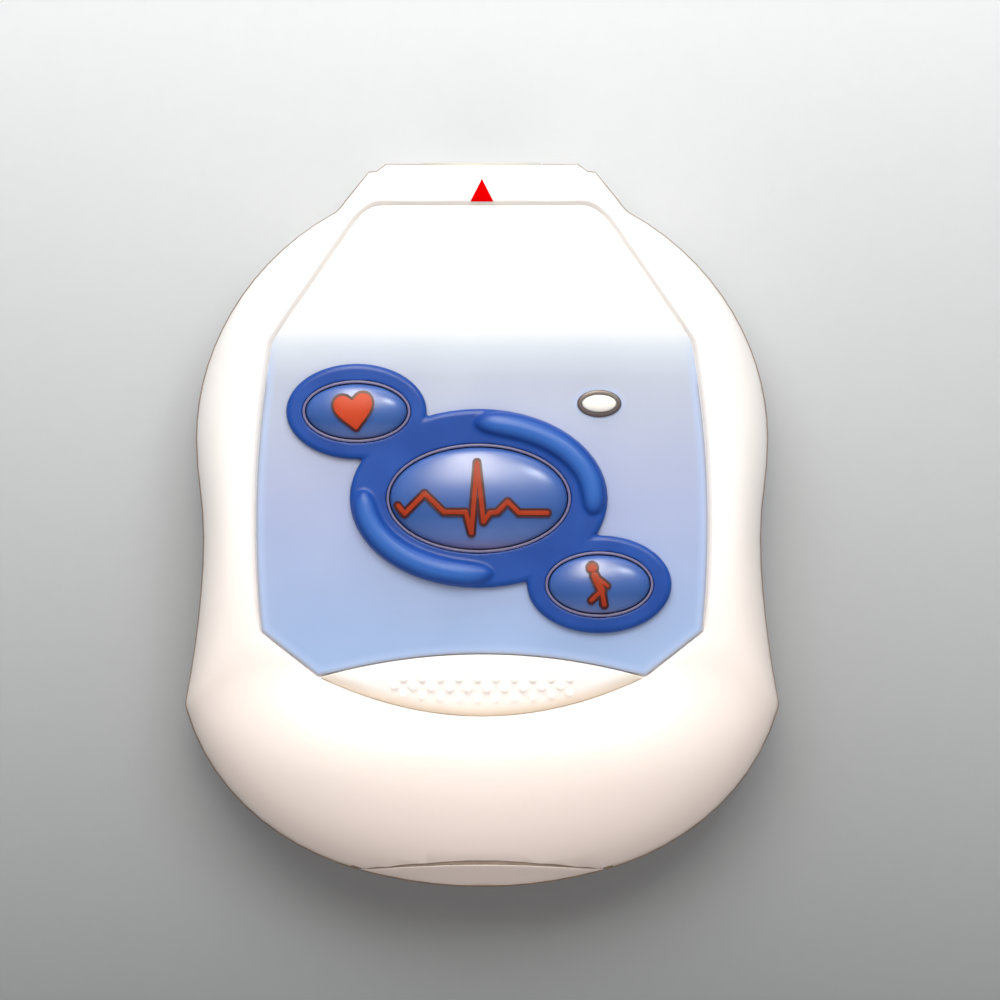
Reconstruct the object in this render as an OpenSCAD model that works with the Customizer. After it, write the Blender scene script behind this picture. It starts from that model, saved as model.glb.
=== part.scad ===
// Home ECG recorder: a palm-sized monitor that lies on its back.
// +Z points out of its face, +Y towards the collar with the lead socket.
// It rests on four steel contact electrodes, whose faces lie at z = 0.

/* [Casing outline] */
// Length over collar and belly
body_len = 90.4; // [87:0.1:96]
// Width over the hips, the widest place
hip_w = 74.2; // [72.4:0.1:80]
// Width over the shoulders
shoulder_w = 71.5; // [69:0.1:76]
// Width at the waist
waist_w = 69.7; // [67:0.1:72]
// Width of the collar's front edge
collar_front_w = 24.0; // [20:0.1:26]
// Width of the collar behind its corner steps
collar_w = 28.4; // [27:0.1:30]
// Width across the neck, where collar and shoulders meet
neck_w = 35.2; // [34:0.1:37]
// Length of the collar in front of the neck
collar_len = 5.4; // [5:0.1:6]
// Depth of the chamfer at the collar's corners
collar_chamfer = 0.9; // [0.5:0.1:1.2]
// Width of the small step at the collar's corners
collar_step = 1.0; // [0.6:0.1:1.4]
// How far behind the collar's front edge the shoulders are widest
shoulder_set = 34.3; // [32:0.1:36]
// How far behind the collar's front edge the waist lies
waist_set = 46.7; // [44:0.1:49]
// How far above the lower end the hips are widest
hip_set = 22.9; // [21:0.1:25]
// Radius of the hip corners
hip_r = 2.6; // [1.5:0.1:4]
// Radius of the lower end's flat arc
belly_arc_r = 57; // [50:1:70]

/* [Casing heights] */
// Thickness of each electrode, which lifts the rear cover
electrode_t = 1.0; // [0.6:0.1:2]
// Height of the rear cover, from its back to the parting line
rear_h = 7.3; // [7:0.1:9]
// Width of the groove between the two casings
seam_gap = 0.4; // [0.3:0.05:0.6]
// How far the seal in that groove stands out of it
seal_proud = 0.15; // [0.05:0.05:0.3]
// Height of the label panel over the parting line
label_rise = 8.0; // [7.8:0.1:9]
// How far the rim stands over the label panel
rim_proud = 0.3; // [0.1:0.05:0.6]
// How far the belly swells over the rim
belly_swell = 2.4; // [1:0.1:3.5]
// Wall thickness of both casings
wall = 1.6; // [1.2:0.1:1.8]
// Edge rounding of the belly, measured inwards
belly_round = 16; // [12:0.5:17]
// Edge rounding of the collar, measured inwards
collar_round = 2.0; // [1.9:0.1:2.4]
// Edge rounding of the rear cover, measured inwards
rear_round = 5.5; // [4:0.1:6]
// Flat land between a rounded edge and the rim of the window
rim_land = 2.0; // [1.9:0.1:2.6]
// Width of the rib that borders the window
rim_rib = 1.6; // [1.2:0.1:1.8]
// Fillet on the window's rim
rim_fillet = 0.4; // [0.2:0.05:0.6]

/* [Label panel] */
// Land between the collar's front edge and the panel
panel_land = 5.14; // [5:0.01:5.6]
// Width of the panel's top edge, between its corners
panel_top_w = 28.9; // [27:0.1:30]
// Width at the panel's side corners
panel_corner_w = 52.6; // [50:0.1:54]
// Width where the panel's side bows out most
panel_bow_w = 56.5; // [54.5:0.1:57]
// Width at the panel's lower corners
panel_low_w = 55.2; // [53:0.1:56]
// Width between the ends of its lower edge
panel_base_w = 41.0; // [38:0.1:43]
// Distance from its top edge down to the side corners
panel_corner_drop = 17.06; // [15:0.01:19]
// Distance from its top edge down to the lower corners
panel_low_drop = 53.26; // [51:0.01:55]
// Distance from its top edge down to the ends of its lower edge
panel_base_drop = 58.86; // [57:0.01:60]
// How far the lower edge arches up
panel_arch = 2.9; // [2:0.1:4]
// How far the thumb rest dips below the ends of the lower edge
thumb_drop = 5.0; // [4:0.1:6]
// Thickness of the label panel
panel_t = 0.5; // [0.3:0.05:0.8]
// Groove round the panel
panel_groove = 0.25; // [0.2:0.05:0.5]
// Thickness of the deck that carries it
deck_t = 1.5; // [1.2:0.1:1.8]

/* [Thumb rest] */
// How deep the thumb rest hollows at its lower edge
thumb_dip = 1.8; // [0.6:0.1:2]
// Gap between the thumb rest and the belly
thumb_gap = 0.06; // [0.06:0.02:0.2]
// Thickness of the floor under the thumb rest
thumb_floor_t = 1.2; // [1:0.1:1.5]
// Depth of that floor below the panel's face
thumb_floor_depth = 2.3; // [2.2:0.1:2.6]
// Radius of a grip dot
dot_r = 0.42; // [0.3:0.02:0.6]
// Height of a grip dot
dot_h = 0.3; // [0.2:0.05:0.5]
// Spacing of the grip dots along a row
dot_pitch = 2.3; // [2:0.1:3]
// Spacing of the rows of grip dots at the middle of the rest
dot_row = 1.3; // [1.2:0.05:1.6]

/* [Pointer mark] */
// Width and height of the triangular mark
mark_size = 2.9; // [2:0.1:3]
// Distance of the mark from the panel's top edge
mark_set = 0.25; // [0.2:0.05:0.5]
// Thickness of the mark
mark_t = 0.2; // [0.1:0.05:0.4]

/* [Buttons] */
// Centre of the heart button, from the middle of the casing
heart_at = [-15.6, 14.2]; // [-18:0.1:18]
// Centre of the trace button
trace_at = [-0.4, 3.4]; // [-5:0.1:5]
// Centre of the figure button
figure_at = [14.6, -7.3]; // [-18:0.1:18]
// Length and width over the heart button's trim
heart_size = [13.5, 7.75]; // [6.5:0.05:15]
// Length and width over the trace button's trim
trace_size = [23.0, 13.6]; // [11:0.1:24]
// Length and width over the figure button's trim
figure_size = [13.5, 8.2]; // [6.5:0.05:15]
// Length and width of the surround at the heart button
heart_surround = [17.5, 11.9]; // [9:0.1:19]
// Length and width of the surround at the trace button
trace_surround = [32.1, 22.3]; // [18:0.1:34]
// Length and width of the surround at the figure button
figure_surround = [18.0, 12.2]; // [9:0.1:19]
// Height of the surround over the panel
surround_h = 1.1; // [0.8:0.05:1.5]
// Rounding of the surround's outer edge
surround_round = 0.6; // [0.3:0.05:0.7]
// Height of the raised crescents over the surround
crescent_h = 1.1; // [0.5:0.05:1.3]
// Width of the raised crescents
crescent_w = 3.3; // [2.4:0.1:3.6]
// Land between the crescents and the surround's outer edge
crescent_land = 0.12; // [0.1:0.02:0.4]
// Width of the trim round each button
trim_w = 0.35; // [0.3:0.05:0.7]
// How far the trim stands over the surround
trim_proud = 0.15; // [0.05:0.05:0.3]
// Running gap round each button
key_gap = 0.18; // [0.15:0.01:0.35]
// Height of the heart button's dome
heart_dome = 1.5; // [0.8:0.1:2.5]
// Height of the trace button's dome
trace_dome = 1.9; // [0.8:0.1:2.8]
// Height of the figure button's dome
figure_dome = 1.5; // [0.8:0.1:2.5]
// How far a button travels
key_travel = 0.6; // [0.3:0.05:0.7]
// Width of the flange that keeps a button in
key_flange = 0.9; // [0.6:0.1:1.2]
// Thickness of that flange
key_flange_t = 1.0; // [0.8:0.1:1.2]
// Radius of the stem under each button
stem_r = 2.0; // [1.7:0.1:2.6]
// Height of the pictograms over the domes
emblem_h = 0.3; // [0.15:0.05:0.5]
// Line width of the trace pictogram
trace_line_w = 0.55; // [0.4:0.05:1]
// Width and height of the heart pictogram
heart_mark = [4.8, 4.5]; // [4:0.1:6]
// Height of the walking figure
figure_mark_h = 5.3; // [4:0.1:5.5]

/* [Indicator] */
// Centre of the indicator lamp
lamp_at = [14.6, 15.2]; // [-20:0.1:20]
// Length and width over its dark rim
lamp_size = [5.5, 3.4]; // [3:0.05:8]
// Width of the rim
lamp_rim_w = 0.55; // [0.5:0.05:0.7]
// Height of the rim over the panel
lamp_rim_h = 0.35; // [0.2:0.05:0.6]
// Height of the lens dome
lamp_dome = 0.55; // [0.3:0.05:0.9]
// Radius of the light pipe under the lens
pipe_r = 0.9; // [0.6:0.05:0.95]

/* [Battery drawer] */
// Width of the drawer's oval front
drawer_front_w = 30.5; // [30.3:0.1:32]
// Half the height of the drawer's oval front
drawer_front_rise = 6.4; // [6.2:0.05:6.6]
// How far the front's facet leans back at its top
drawer_lean = 3.05; // [2.6:0.05:3.05]
// Gap round the drawer's front
drawer_gap = 0.25; // [0.2:0.01:0.35]
// Depth of the drawer's front piece
drawer_front_t = 4.3; // [4:0.1:5]
// Radius of the coin cell
cell_r = 12.25; // [12:0.05:12.3]
// Thickness of the coin cell
cell_t = 5.0; // [3:0.1:5.1]
// Distance of the cell's centre from the lower end
cell_set = 16.6; // [16.4:0.1:17]
// Thickness of the drawer's floor
tray_floor = 0.6; // [0.4:0.05:0.7]
// Height of the drawer's side walls over its floor
tray_wall_h = 2.8; // [2:0.1:3.2]
// Least wall of the drawer beside the cell
tray_wall = 0.6; // [0.4:0.05:0.7]
// Width of the battery contacts
contact_w = 4.0; // [3:0.1:5]
// Thickness of the battery contacts
contact_t = 0.3; // [0.2:0.05:0.4]

/* [Lead socket] */
// Width of the socket's mouth
socket_w = 12.4; // [10:0.1:13]
// Height of the socket's mouth
socket_h = 4.6; // [4.4:0.1:5]
// Wall of the socket
socket_wall = 1.2; // [0.8:0.1:1.3]
// Length of the socket
socket_len = 9.0; // [8:0.1:9.2]
// Number of contact pins
pin_count = 5; // [3:1:7]

/* [Inside] */
// Thickness of the circuit board
board_t = 1.2; // [0.8:0.1:1.4]
// Distance of the board's edge from the casing's outline
board_inset = 3.6; // [3.4:0.1:5]
// Height of a tactile switch over the board
switch_h = 2.4; // [2:0.1:2.5]
// Side of a tactile switch
switch_w = 6.2; // [5:0.1:6.6]
// Radius of a switch's actuator
actuator_r = 1.5; // [1.2:0.05:1.6]
// Radius of an electrode
electrode_r = 4.5; // [3.5:0.1:5.5]
// Radius of an electrode's stem
electrode_stem_r = 1.6; // [1.2:0.1:2]
// Upper electrodes' distance from the middle, across and along
electrode_upper = [17.5, 21]; // [15:0.5:24]
// Lower electrodes' distance from the middle, across and along
electrode_lower = [22.5, -22]; // [-25:0.5:25]
// Upper case screws' distance from the middle, across and along
screw_upper = [18.5, 29.5]; // [17:0.1:31]
// Lower case screws' distance from the middle, across and along
screw_lower = [25.0, -12.5]; // [-14:0.1:26]
// Radius of a case screw's shank
screw_r = 1.0; // [0.8:0.05:1.2]
// Radius of a case screw's head
screw_head_r = 1.9; // [1.6:0.1:2]
// Radius of the screw posts
post_r = 2.8; // [2.6:0.1:3]
// Body of the signal chip
signal_size = [8, 8, 1.4]; // [1:0.1:9]
// How far right of the middle the signal chip sits
signal_x = 1; // [-2:0.1:2]
// How far behind the board's upper end its centre lies
signal_set = 12; // [11:0.1:13]
// Body of the memory chip
memory_size = [7, 4.5, 1.1]; // [1:0.1:7.5]
// Memory chip's centre, left of and below the trace button's
memory_at = [10.6, 11.4]; // [10:0.1:12]
// Body of the clock crystal
crystal_size = [5, 2.2, 1.2]; // [1:0.1:5.4]
// How far right of the middle the crystal sits
crystal_x = 9.5; // [9:0.1:10.5]
// How far behind the board's upper end its centre lies
crystal_set = 12; // [11:0.1:13]
// Body of a small part
passive_size = [1.6, 0.9, 0.8]; // [0.6:0.1:1.8]
// Pitch of the small parts in their rows
passive_pitch = 2.6; // [2.2:0.1:2.8]
// Centre of the beeper under the board
beeper_at = [-19, -3]; // [-20:0.1:0]
// Radius of the beeper
beeper_r = 4.5; // [3.5:0.1:4.8]
// Width and length of the bare field on the back
plate_size = [28, 18]; // [10:1:30]
// Depth of that field
plate_depth = 0.3; // [0.1:0.05:0.5]
// Board screws' distance from the middle, across and along
board_screw_at = [24.5, 3]; // [2:0.1:26]

/* [Hidden] */
$fn = 48;

// Clearances that several pieces share
seat = 0.1;
hair = 0.02;
slip = 0.3;

// Left and right electrodes of the upper and of the lower pair
electrode_list = [[-1, electrode_upper], [1, electrode_upper], [-1, electrode_lower], [1, electrode_lower]];

// Places along Y
y_top = body_len / 2;
y_low = -body_len / 2;
neck_y = y_top - collar_len;
shoulder_y = y_top - shoulder_set;
waist_y = y_top - waist_set;
hip_y = y_low + hip_set;
panel_y = y_top - panel_land;
corner_y = panel_y - panel_corner_drop;
low_y = panel_y - panel_low_drop;
base_y = panel_y - panel_base_drop;

// Heights along Z
z_back = electrode_t;
z_seam = z_back + rear_h + seam_gap / 2;
z_rear_top = z_seam - seam_gap / 2;
z_front_low = z_seam + seam_gap / 2;
z_panel = z_seam + label_rise;
z_deck = z_panel - panel_t;
z_deck_low = z_deck - deck_t;
z_rim = z_panel + rim_proud;
z_thumb_floor = z_panel - thumb_floor_depth;
z_rib_low = z_thumb_floor - thumb_floor_t - 0.2;
z_surround = z_panel + surround_h;
z_board = z_back + 8.0;
z_board_low = z_board - board_t;
z_flange = z_deck_low - seat;
z_flange_low = z_flange - key_flange_t;
z_stem_low = z_board + switch_h + 0.8;

// ---- Curves ----------------------------------------------------------------

function mix(a, b, t) = a + (b - a) * t;
function cubic(p, q, r, s, t) =
    pow(1 - t, 3) * p + 3 * pow(1 - t, 2) * t * q + 3 * (1 - t) * t * t * r + pow(t, 3) * s;
function bow(p, q, r, t) = pow(1 - t, 2) * p + 2 * (1 - t) * t * q + t * t * r;
function smooth(t) = let (u = min(max(t, 0), 1)) u * u * (3 - 2 * u);
function oval(size, grow = 0, n = 56) =
    [for (i = [0:n - 1]) [(size[0] / 2 + grow) * cos(360 * i / n), (size[1] / 2 + grow) * sin(360 * i / n)]];

// Outline of the casing, from the middle of the collar down its right side
collar_side = [collar_w / 2, y_top - collar_chamfer - 0.1];
neck_in = [neck_w / 2 - 0.5, neck_y + 0.8];
neck_out = [neck_w / 2 + 0.7, neck_y - 0.6];
shoulder = [shoulder_w / 2, shoulder_y];
waist = [waist_w / 2, waist_y];
hip_mid = [hip_w / 2 - hip_r, hip_y];

// How strongly each curve leaves its ends
neck_pull = 13.2;
shoulder_pull = 10.6;
side_pull_len = 5;
waist_pull = 6.7;
flare_pull = 5.9;
hip_pull = 11.1;
facet_pull = 10.2;

// Angles at which the outline turns the hips and meets the lower end
hip_flare = 11;
hip_turn = 16.3;
hip_in = hip_mid + hip_r * [cos(hip_flare), sin(hip_flare)];
hip_out = hip_mid + hip_r * [cos(hip_turn), -sin(hip_turn)];
facet_turn = asin(drawer_front_w / 2 / belly_arc_r);
facet_end = [drawer_front_w / 2, y_low + belly_arc_r * (1 - cos(facet_turn))];
shoulder_turn = 28.5;

half_outline = concat(
    [for (i = [0:2]) [collar_front_w / 4 * i, y_top]],
    [[collar_w / 2 - collar_step, y_top - collar_chamfer], collar_side],
    [mix(collar_side, neck_in, 0.5), neck_in],
    [for (i = [1:3]) bow(neck_in, [neck_w / 2, neck_y], neck_out, i / 3)],
    [for (i = [1:14]) cubic(neck_out, neck_out + neck_pull * [cos(shoulder_turn), -sin(shoulder_turn)],
        shoulder + [0, shoulder_pull], shoulder, i / 14)],
    [for (i = [1:4]) cubic(shoulder, shoulder - [0, side_pull_len],
        waist + [0, side_pull_len], waist, i / 4)],
    [for (i = [1:6]) cubic(waist, waist - [0, waist_pull],
        hip_in - flare_pull * [sin(hip_flare), -cos(hip_flare)], hip_in, i / 6)],
    [for (i = [1:4]) let (a = mix(hip_flare, -hip_turn, i / 4)) hip_mid + hip_r * [cos(a), sin(a)]],
    [for (i = [1:11]) cubic(hip_out, hip_out + hip_pull * [-sin(hip_turn), -cos(hip_turn)],
        facet_end + facet_pull * [cos(facet_turn), sin(facet_turn)], facet_end, i / 11)],
    [for (i = [1:4]) let (a = facet_turn * (1 - i / 4))
        [belly_arc_r * sin(a), y_low + belly_arc_r * (1 - cos(a))]]
);

// Outline of the window that holds the panel and the thumb rest, station by station
window_corner = [panel_top_w / 2, panel_y];
window_side = [panel_corner_w / 2, corner_y];
window_low = [panel_low_w / 2, low_y];
window_base = [panel_base_w / 2, base_y];
corner_cut = 1.9;
corner_reach = 3.2;
diagonal = (window_side - window_corner) / norm(window_side - window_corner);
corner_out = window_corner + corner_reach * diagonal;
side_pull = [panel_bow_w - (window_side[0] + window_low[0]) / 2, (corner_y + low_y) / 2];

half_window = concat(
    [for (i = [0:3]) [(panel_top_w / 2 - corner_cut) * i / 3, panel_y]],
    [for (i = [1:6]) bow(window_corner - [corner_cut, 0], window_corner, corner_out, i / 6)],
    [for (i = [1:8]) mix(corner_out, window_side, i / 8)],
    [for (i = [1:15]) bow(window_side, side_pull, window_low, i / 15)],
    [for (i = [1:10]) mix(window_low, window_base, i / 10)],
    [for (i = [1:10]) let (u = 1 - i / 10) [panel_base_w / 2 * u, base_y - thumb_drop * (1 - u * u)]]
);

// The thumb rest stops short of the window's lower corners
thumb_blunt = 0.6;
thumb_end = panel_base_w / 2 - thumb_blunt;

half_n = len(half_outline) - 1;
stations = 2 * half_n;
chamfer_end = 3 + 6 + 8 + 15 + 10;

// Station i of a half outline, counted on round the left side too
function around(half, i) =
    let (k = i % stations) k <= half_n ? half[k] : [-half[stations - k][0], half[stations - k][1]];
function edge_at(i) = around(half_outline, i);
function rim_at(i) = around(half_window, i);
function span_at(i) = norm(rim_at(i) - edge_at(i));
function inward(i, d) = edge_at(i) + (rim_at(i) - edge_at(i)) * d / span_at(i);
function inset_outline(d) = [for (i = [0:stations - 1]) inward(i, d)];

// Length over which the collar's rounding grows into the shoulders'
round_run = 9;
// Edge rounding at station i, from the collar's small one to the belly's large one
function round_at(i) =
    let (y = edge_at(i)[1], full = min(span_at(i) - rim_land, belly_round))
    y > neck_y ? collar_round : mix(collar_round, full, smooth((neck_y - y) / round_run));

// Height of the front face at y, over the swelling belly
swell_lead = 1.8;
swell_len = 14;
function crown(y) = z_rim + belly_swell * smooth((base_y + swell_lead - y) / swell_len);

// ---- Swept casings ---------------------------------------------------------

// A closed ring of stations, each with the same number of profile points
module swept(rings) {
    m = len(rings[0]);
    polyhedron(
        points = [for (r = rings) each r],
        faces = [for (i = [0:stations - 1], j = [0:m - 1])
            let (a = i * m + j, b = i * m + (j + 1) % m,
                c = ((i + 1) % stations) * m + (j + 1) % m, d = ((i + 1) % stations) * m + j)
            each [[a, c, b], [a, d, c]]]
    );
}

// One profile point: distance d inwards at station i, height z
function spot(i, d, z) = let (p = inward(i, d)) [p[0], p[1], z];

// Height of the front casing's skin, sunk by the wall inside
function skin(i, a, sink, r) =
    let (d = sink + r * (1 - cos(a)), y = inward(i, d)[1])
    spot(i, d, z_front_low + (crown(y) - sink - z_front_low) * sin(a));

function front_profile(i) =
    let (
        r = round_at(i),
        span = span_at(i),
        land_end = span - rim_fillet,
        rib = span - rim_rib
    )
    concat(
        [for (a = [0:11.25:90]) skin(i, a, 0, r)],
        [for (t = [1 / 3, 2 / 3, 1]) let (d = mix(r, land_end, t)) spot(i, d, crown(inward(i, d)[1]))],
        [spot(i, span, crown(rim_at(i)[1]) - rim_fillet)],
        [spot(i, span, z_rib_low), spot(i, rib, z_rib_low)],
        [spot(i, rib, crown(inward(i, rib)[1]) - wall)],
        [for (a = [90:-22.5:0]) skin(i, a, wall, r - wall)]
    );

// The rear casing is a closed dish: up its outside, over the lip, down its inside
function dish_ring(sink, a) =
    [for (i = [stations - 1:-1:0])
        inward(i, sink + (min(round_at(i), rear_round) - sink) * (1 - cos(a)))];
function dish_z(sink, a) = z_rear_top - (rear_h - sink) * sin(a);

module rear_dish()
    stack(
        concat([for (a = [90:-15:0]) dish_ring(0, a)], [for (a = [0:15:90]) dish_ring(wall, a)]),
        concat([for (a = [90:-15:0]) dish_z(0, a)], [for (a = [0:15:90]) dish_z(wall, a)])
    );

// ---- Shared plan shapes ----------------------------------------------------

// The arch under the panel, dropped by d, from left to right
function arch(d, half_w) =
    [for (u = [-1:0.1:1.001])
        [u * half_w, base_y + panel_arch * (1 - pow(2 * u * half_w / panel_base_w, 2)) - d]];

// The window's sides above the arch, grown outwards by g
function window_sides(g) =
    concat(
        [for (i = [stations - chamfer_end:stations - 1]) inward(i, span_at(i) - g)],
        [for (i = [0:chamfer_end]) inward(i, span_at(i) - g)]
    );

// The panel's plan: window sides, closed along the arch
module panel_plan(g, drop) {
    half = panel_base_w / 2 + g;
    pts = arch(drop, half);
    polygon(concat(window_sides(g), [for (i = [len(pts) - 2:-1:1]) pts[i]]));
}

// The lens between the arch and the window's lower edge, grown by g
module thumb_plan(g) {
    ends = 2 * thumb_end / panel_base_w;
    half = panel_base_w / 2;
    upper = [for (u = [-1:0.1:1.001]) [u * half * ends,
        base_y + panel_arch * (1 - pow(u * ends, 2)) - panel_groove / 2 + g]];
    lower = [for (u = [1:-0.1:-1.001]) [u * half * ends,
        base_y - thumb_drop * (1 - pow(u * ends, 2)) + thumb_gap / 2 - g]];
    polygon(concat(upper, lower));
}

module at(place) translate([place[0], place[1], 0]) children();

module oval_hole(place, size, grow, z0, z1)
    at(place) translate([0, 0, z0]) linear_extrude(z1 - z0) polygon(oval(size, grow));

// An oval tablet with a rounded upper edge
module oval_tablet(size, z0, z1, edge, n = 56) {
    steps = 4;
    rings = concat(
        [oval(size, 0, n)],
        [for (k = [0:steps]) oval(size, -edge * (1 - cos(90 * k / steps)), n)]
    );
    heights = concat([z0], [for (k = [0:steps]) z1 - edge + edge * sin(90 * k / steps)]);
    stack(rings, heights);
}

// An oval dome: straight skirt from z0 to z1, then a crown of height h
module oval_dome(size, grow, z0, z1, h, n = 56) {
    steps = 6;
    rings = concat([oval(size, grow, n)], [for (k = [0:steps - 1]) let (c = cos(86 * k / steps))
        [for (p = oval(size, grow, n)) p * c]]);
    heights = concat([z0], [for (k = [0:steps - 1]) z1 + h * sin(86 * k / steps)]);
    stack(rings, heights, z1 + h);
}

// Rings stacked into one solid; a top height closes it in a point
module stack(rings, heights, peak = undef) {
    n = len(rings[0]);
    m = len(rings);
    pts = [for (k = [0:m - 1], i = [0:n - 1]) [rings[k][i][0], rings[k][i][1], heights[k]]];
    side = [for (k = [0:m - 2], i = [0:n - 1])
        let (a = k * n + i, b = k * n + (i + 1) % n) each [[a, b + n, b], [a, a + n, b + n]]];
    top = is_undef(peak)
        ? [[for (i = [n - 1:-1:0]) (m - 1) * n + i]]
        : [for (i = [0:n - 1]) [(m - 1) * n + i, m * n, (m - 1) * n + (i + 1) % n]];
    polyhedron(
        points = is_undef(peak) ? pts : concat(pts, [[0, 0, peak]]),
        faces = concat([[for (i = [0:n - 1]) i]], side, top)
    );
}

// ---- Casing ----------------------------------------------------------------

// Depth of the case screws' heads, their height and how far they reach into the front casing
screw_sink = 2;
screw_head_h = 1.4;
screw_bite = 3.7;

module screw_places()
    for (s = [-1, 1], p = [screw_upper, screw_lower]) translate([s * p[0], p[1], 0]) children();

module drawer_tunnel(grow, y0, y1)
    translate([0, y1, z_seam]) rotate([90, 0, 0]) linear_extrude(y1 - y0)
        polygon(oval([drawer_front_w, 2 * drawer_front_rise], grow));

module socket_cutout() {
    w = socket_w + 2 * (socket_wall + seat);
    h = socket_h + 2 * (socket_wall + seat);
    translate([-w / 2, y_top - socket_len - 1, z_seam - h / 2]) cube([w, socket_len + 4, h]);
}

// Nail notches beside the drawer's front
nail_r = 1.1;
nail_h = 4.4;
module nail_notches()
    for (s = [-1, 1]) translate([s * (drawer_front_w / 2 + 0.7), facet_end[1] - 0.5, z_seam - nail_h / 2])
        cylinder(r = nail_r, h = nail_h);

// The deck under the panel, stepped down under the thumb rest
thumb_step_t = 1.1;
module deck() {
    grow = rim_rib / 2;
    difference() {
        translate([0, 0, z_deck_low]) linear_extrude(deck_t) panel_plan(grow, 0.05);
        key_holes(z_deck_low - 1, z_deck + 1);
    }
    z_floor = z_thumb_floor - thumb_floor_t;
    translate([0, 0, z_floor]) linear_extrude(z_deck - 0.3 - z_floor) {
        back = arch(-thumb_step_t, panel_base_w / 2 + grow);
        polygon(concat(arch(0.05, panel_base_w / 2 + grow), [for (i = [len(back) - 1:-1:0]) back[i]]));
    }
    translate([0, 0, z_floor]) linear_extrude(thumb_floor_t) thumb_plan(grow);
    // The casing closes the window's two pointed corners beside the thumb rest
    for (s = [-1, 1]) translate([0, 0, z_floor]) linear_extrude(z_panel - z_floor) {
        in_x = thumb_end + thumb_gap;
        out_x = panel_base_w / 2 + grow;
        y_edge = base_y - panel_groove;
        polygon([[s * in_x, thumb_top_y(in_x)], [s * panel_base_w / 2, y_edge], [s * out_x, y_edge],
            [s * out_x, base_y - grow], [s * in_x, thumb_low_y(in_x) - grow]]);
    }
}

module front_shell() color("white") difference() {
    union() {
        swept([for (i = [0:stations - 1]) front_profile(i)]);
        deck();
        screw_places() translate([0, 0, z_front_low]) cylinder(r = post_r, h = z_deck - 0.5 - z_front_low);
    }
    screw_places() translate([0, 0, z_front_low - 1]) cylinder(r = screw_r + hair, h = screw_bite + 1.5);
    drawer_tunnel(drawer_gap, y_low - 5, y_low + 5);
    socket_cutout();
    nail_notches();
}

module rear_cover() color("whitesmoke") difference() {
    union() {
        rear_dish();
        screw_places() translate([0, 0, z_back + wall / 2])
            cylinder(r = post_r, h = z_rear_top - z_back - wall / 2);
        board_posts();
        drawer_rails();
    }
    screw_places() {
        translate([0, 0, z_back - 1]) cylinder(r = screw_r + 0.15, h = rear_h + 2);
        translate([0, 0, z_back - 1]) cylinder(r = screw_head_r + 0.2, h = 1 + screw_sink);
    }
    board_screw_places() translate([0, 0, z_back + wall]) cylinder(r = board_screw_r + hair, h = rear_h);
    electrode_places() translate([0, 0, z_back - 1]) cylinder(r = electrode_stem_r + hair, h = rear_h);
    drawer_tunnel(drawer_gap, y_low - 5, y_low + 5);
    socket_cutout();
    nail_notches();
    plate_recess();
    sound_holes();
}

board_screw_r = 0.78;
board_post_r = 2.2;
module board_screw_places()
    for (s = [-1, 1]) translate([s * board_screw_at[0], board_screw_at[1], 0]) children();

module board_posts()
    board_screw_places() translate([0, 0, z_back + wall / 2])
        cylinder(r = board_post_r, h = z_board_low - z_back - wall / 2);

// A bare, shallow field on the back, with round corners
plate_y = 9;
plate_r = 2;
module plate_recess() {
    half = plate_size / 2;
    translate([0, plate_y, z_back - 1]) linear_extrude(1 + plate_depth) {
        translate([-half[0], plate_r - half[1]]) square([plate_size[0], plate_size[1] - 2 * plate_r]);
        translate([plate_r - half[0], -half[1]]) square([plate_size[0] - 2 * plate_r, plate_size[1]]);
        for (a = [-1, 1], b = [-1, 1]) translate([a * (half[0] - plate_r), b * (half[1] - plate_r)])
            circle(r = plate_r);
    }
}

module sound_holes()
    for (k = [0:4]) at(beeper_at + 2.2 * [cos(72 * k), sin(72 * k)])
        translate([0, 0, z_back - 1]) cylinder(r = 0.6, h = wall + 2);

// Two rails guide the drawer and a low bed carries it
tray_half_w = cell_r + 0.2 + tray_wall;
tray_drop = 2.6;
z_tray = z_seam - tray_drop;
rail_t = 1.2;
rail_over = 2;
rail_start = 6;
bed_x = 8;
bed_t = 2;
module drawer_rails() {
    y0 = y_low + rail_start;
    run = cell_set + cell_r - rail_start;
    floor_z = z_back + wall / 2;
    for (s = [-1, 1]) translate([s * (tray_half_w + slip + rail_t / 2) - rail_t / 2, y0, floor_z])
        cube([rail_t, run, z_tray + rail_over - floor_z]);
    for (s = [-1, 1]) translate([s * bed_x - bed_t / 2, y0, floor_z])
        cube([bed_t, run, z_tray - slip - floor_z]);
}

// A ring of seal between the two casings, a little proud of them, open at the drawer and at the socket
module case_gasket() color("dimgray") difference() {
    translate([0, 0, z_rear_top]) linear_extrude(seam_gap) difference() {
        polygon(inset_outline(-seal_proud));
        polygon(inset_outline(wall));
    }
    drawer_tunnel(drawer_gap, y_low - 5, y_low + 5);
    socket_cutout();
}

// ---- Panel, thumb rest, mark -----------------------------------------------

module faceplate() color("lightsteelblue") difference() {
    translate([0, 0, z_deck]) linear_extrude(panel_t) panel_plan(-panel_groove, 0);
    key_holes(z_deck - 1, z_panel + 1);
}

// The wells that the buttons and the lamp pass through
module key_holes(z0, z1) {
    oval_hole(heart_at, heart_size, -trim_w, z0, z1);
    oval_hole(trace_at, trace_size, -trim_w, z0, z1);
    oval_hole(figure_at, figure_size, -trim_w, z0, z1);
    oval_hole(lamp_at, lamp_size, -lamp_rim_w, z0, z1);
}

// A raised triangle that points to the lead socket
module pointer_mark() color("red")
    translate([0, panel_y + mark_set, z_rim]) linear_extrude(mark_t)
        polygon([[-mark_size / 2, 0], [0, mark_size], [mark_size / 2, 0]]);

// The thumb rest: a lens that curls down from the panel's edge to the step at the belly
thumb_curl = 4;
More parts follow.
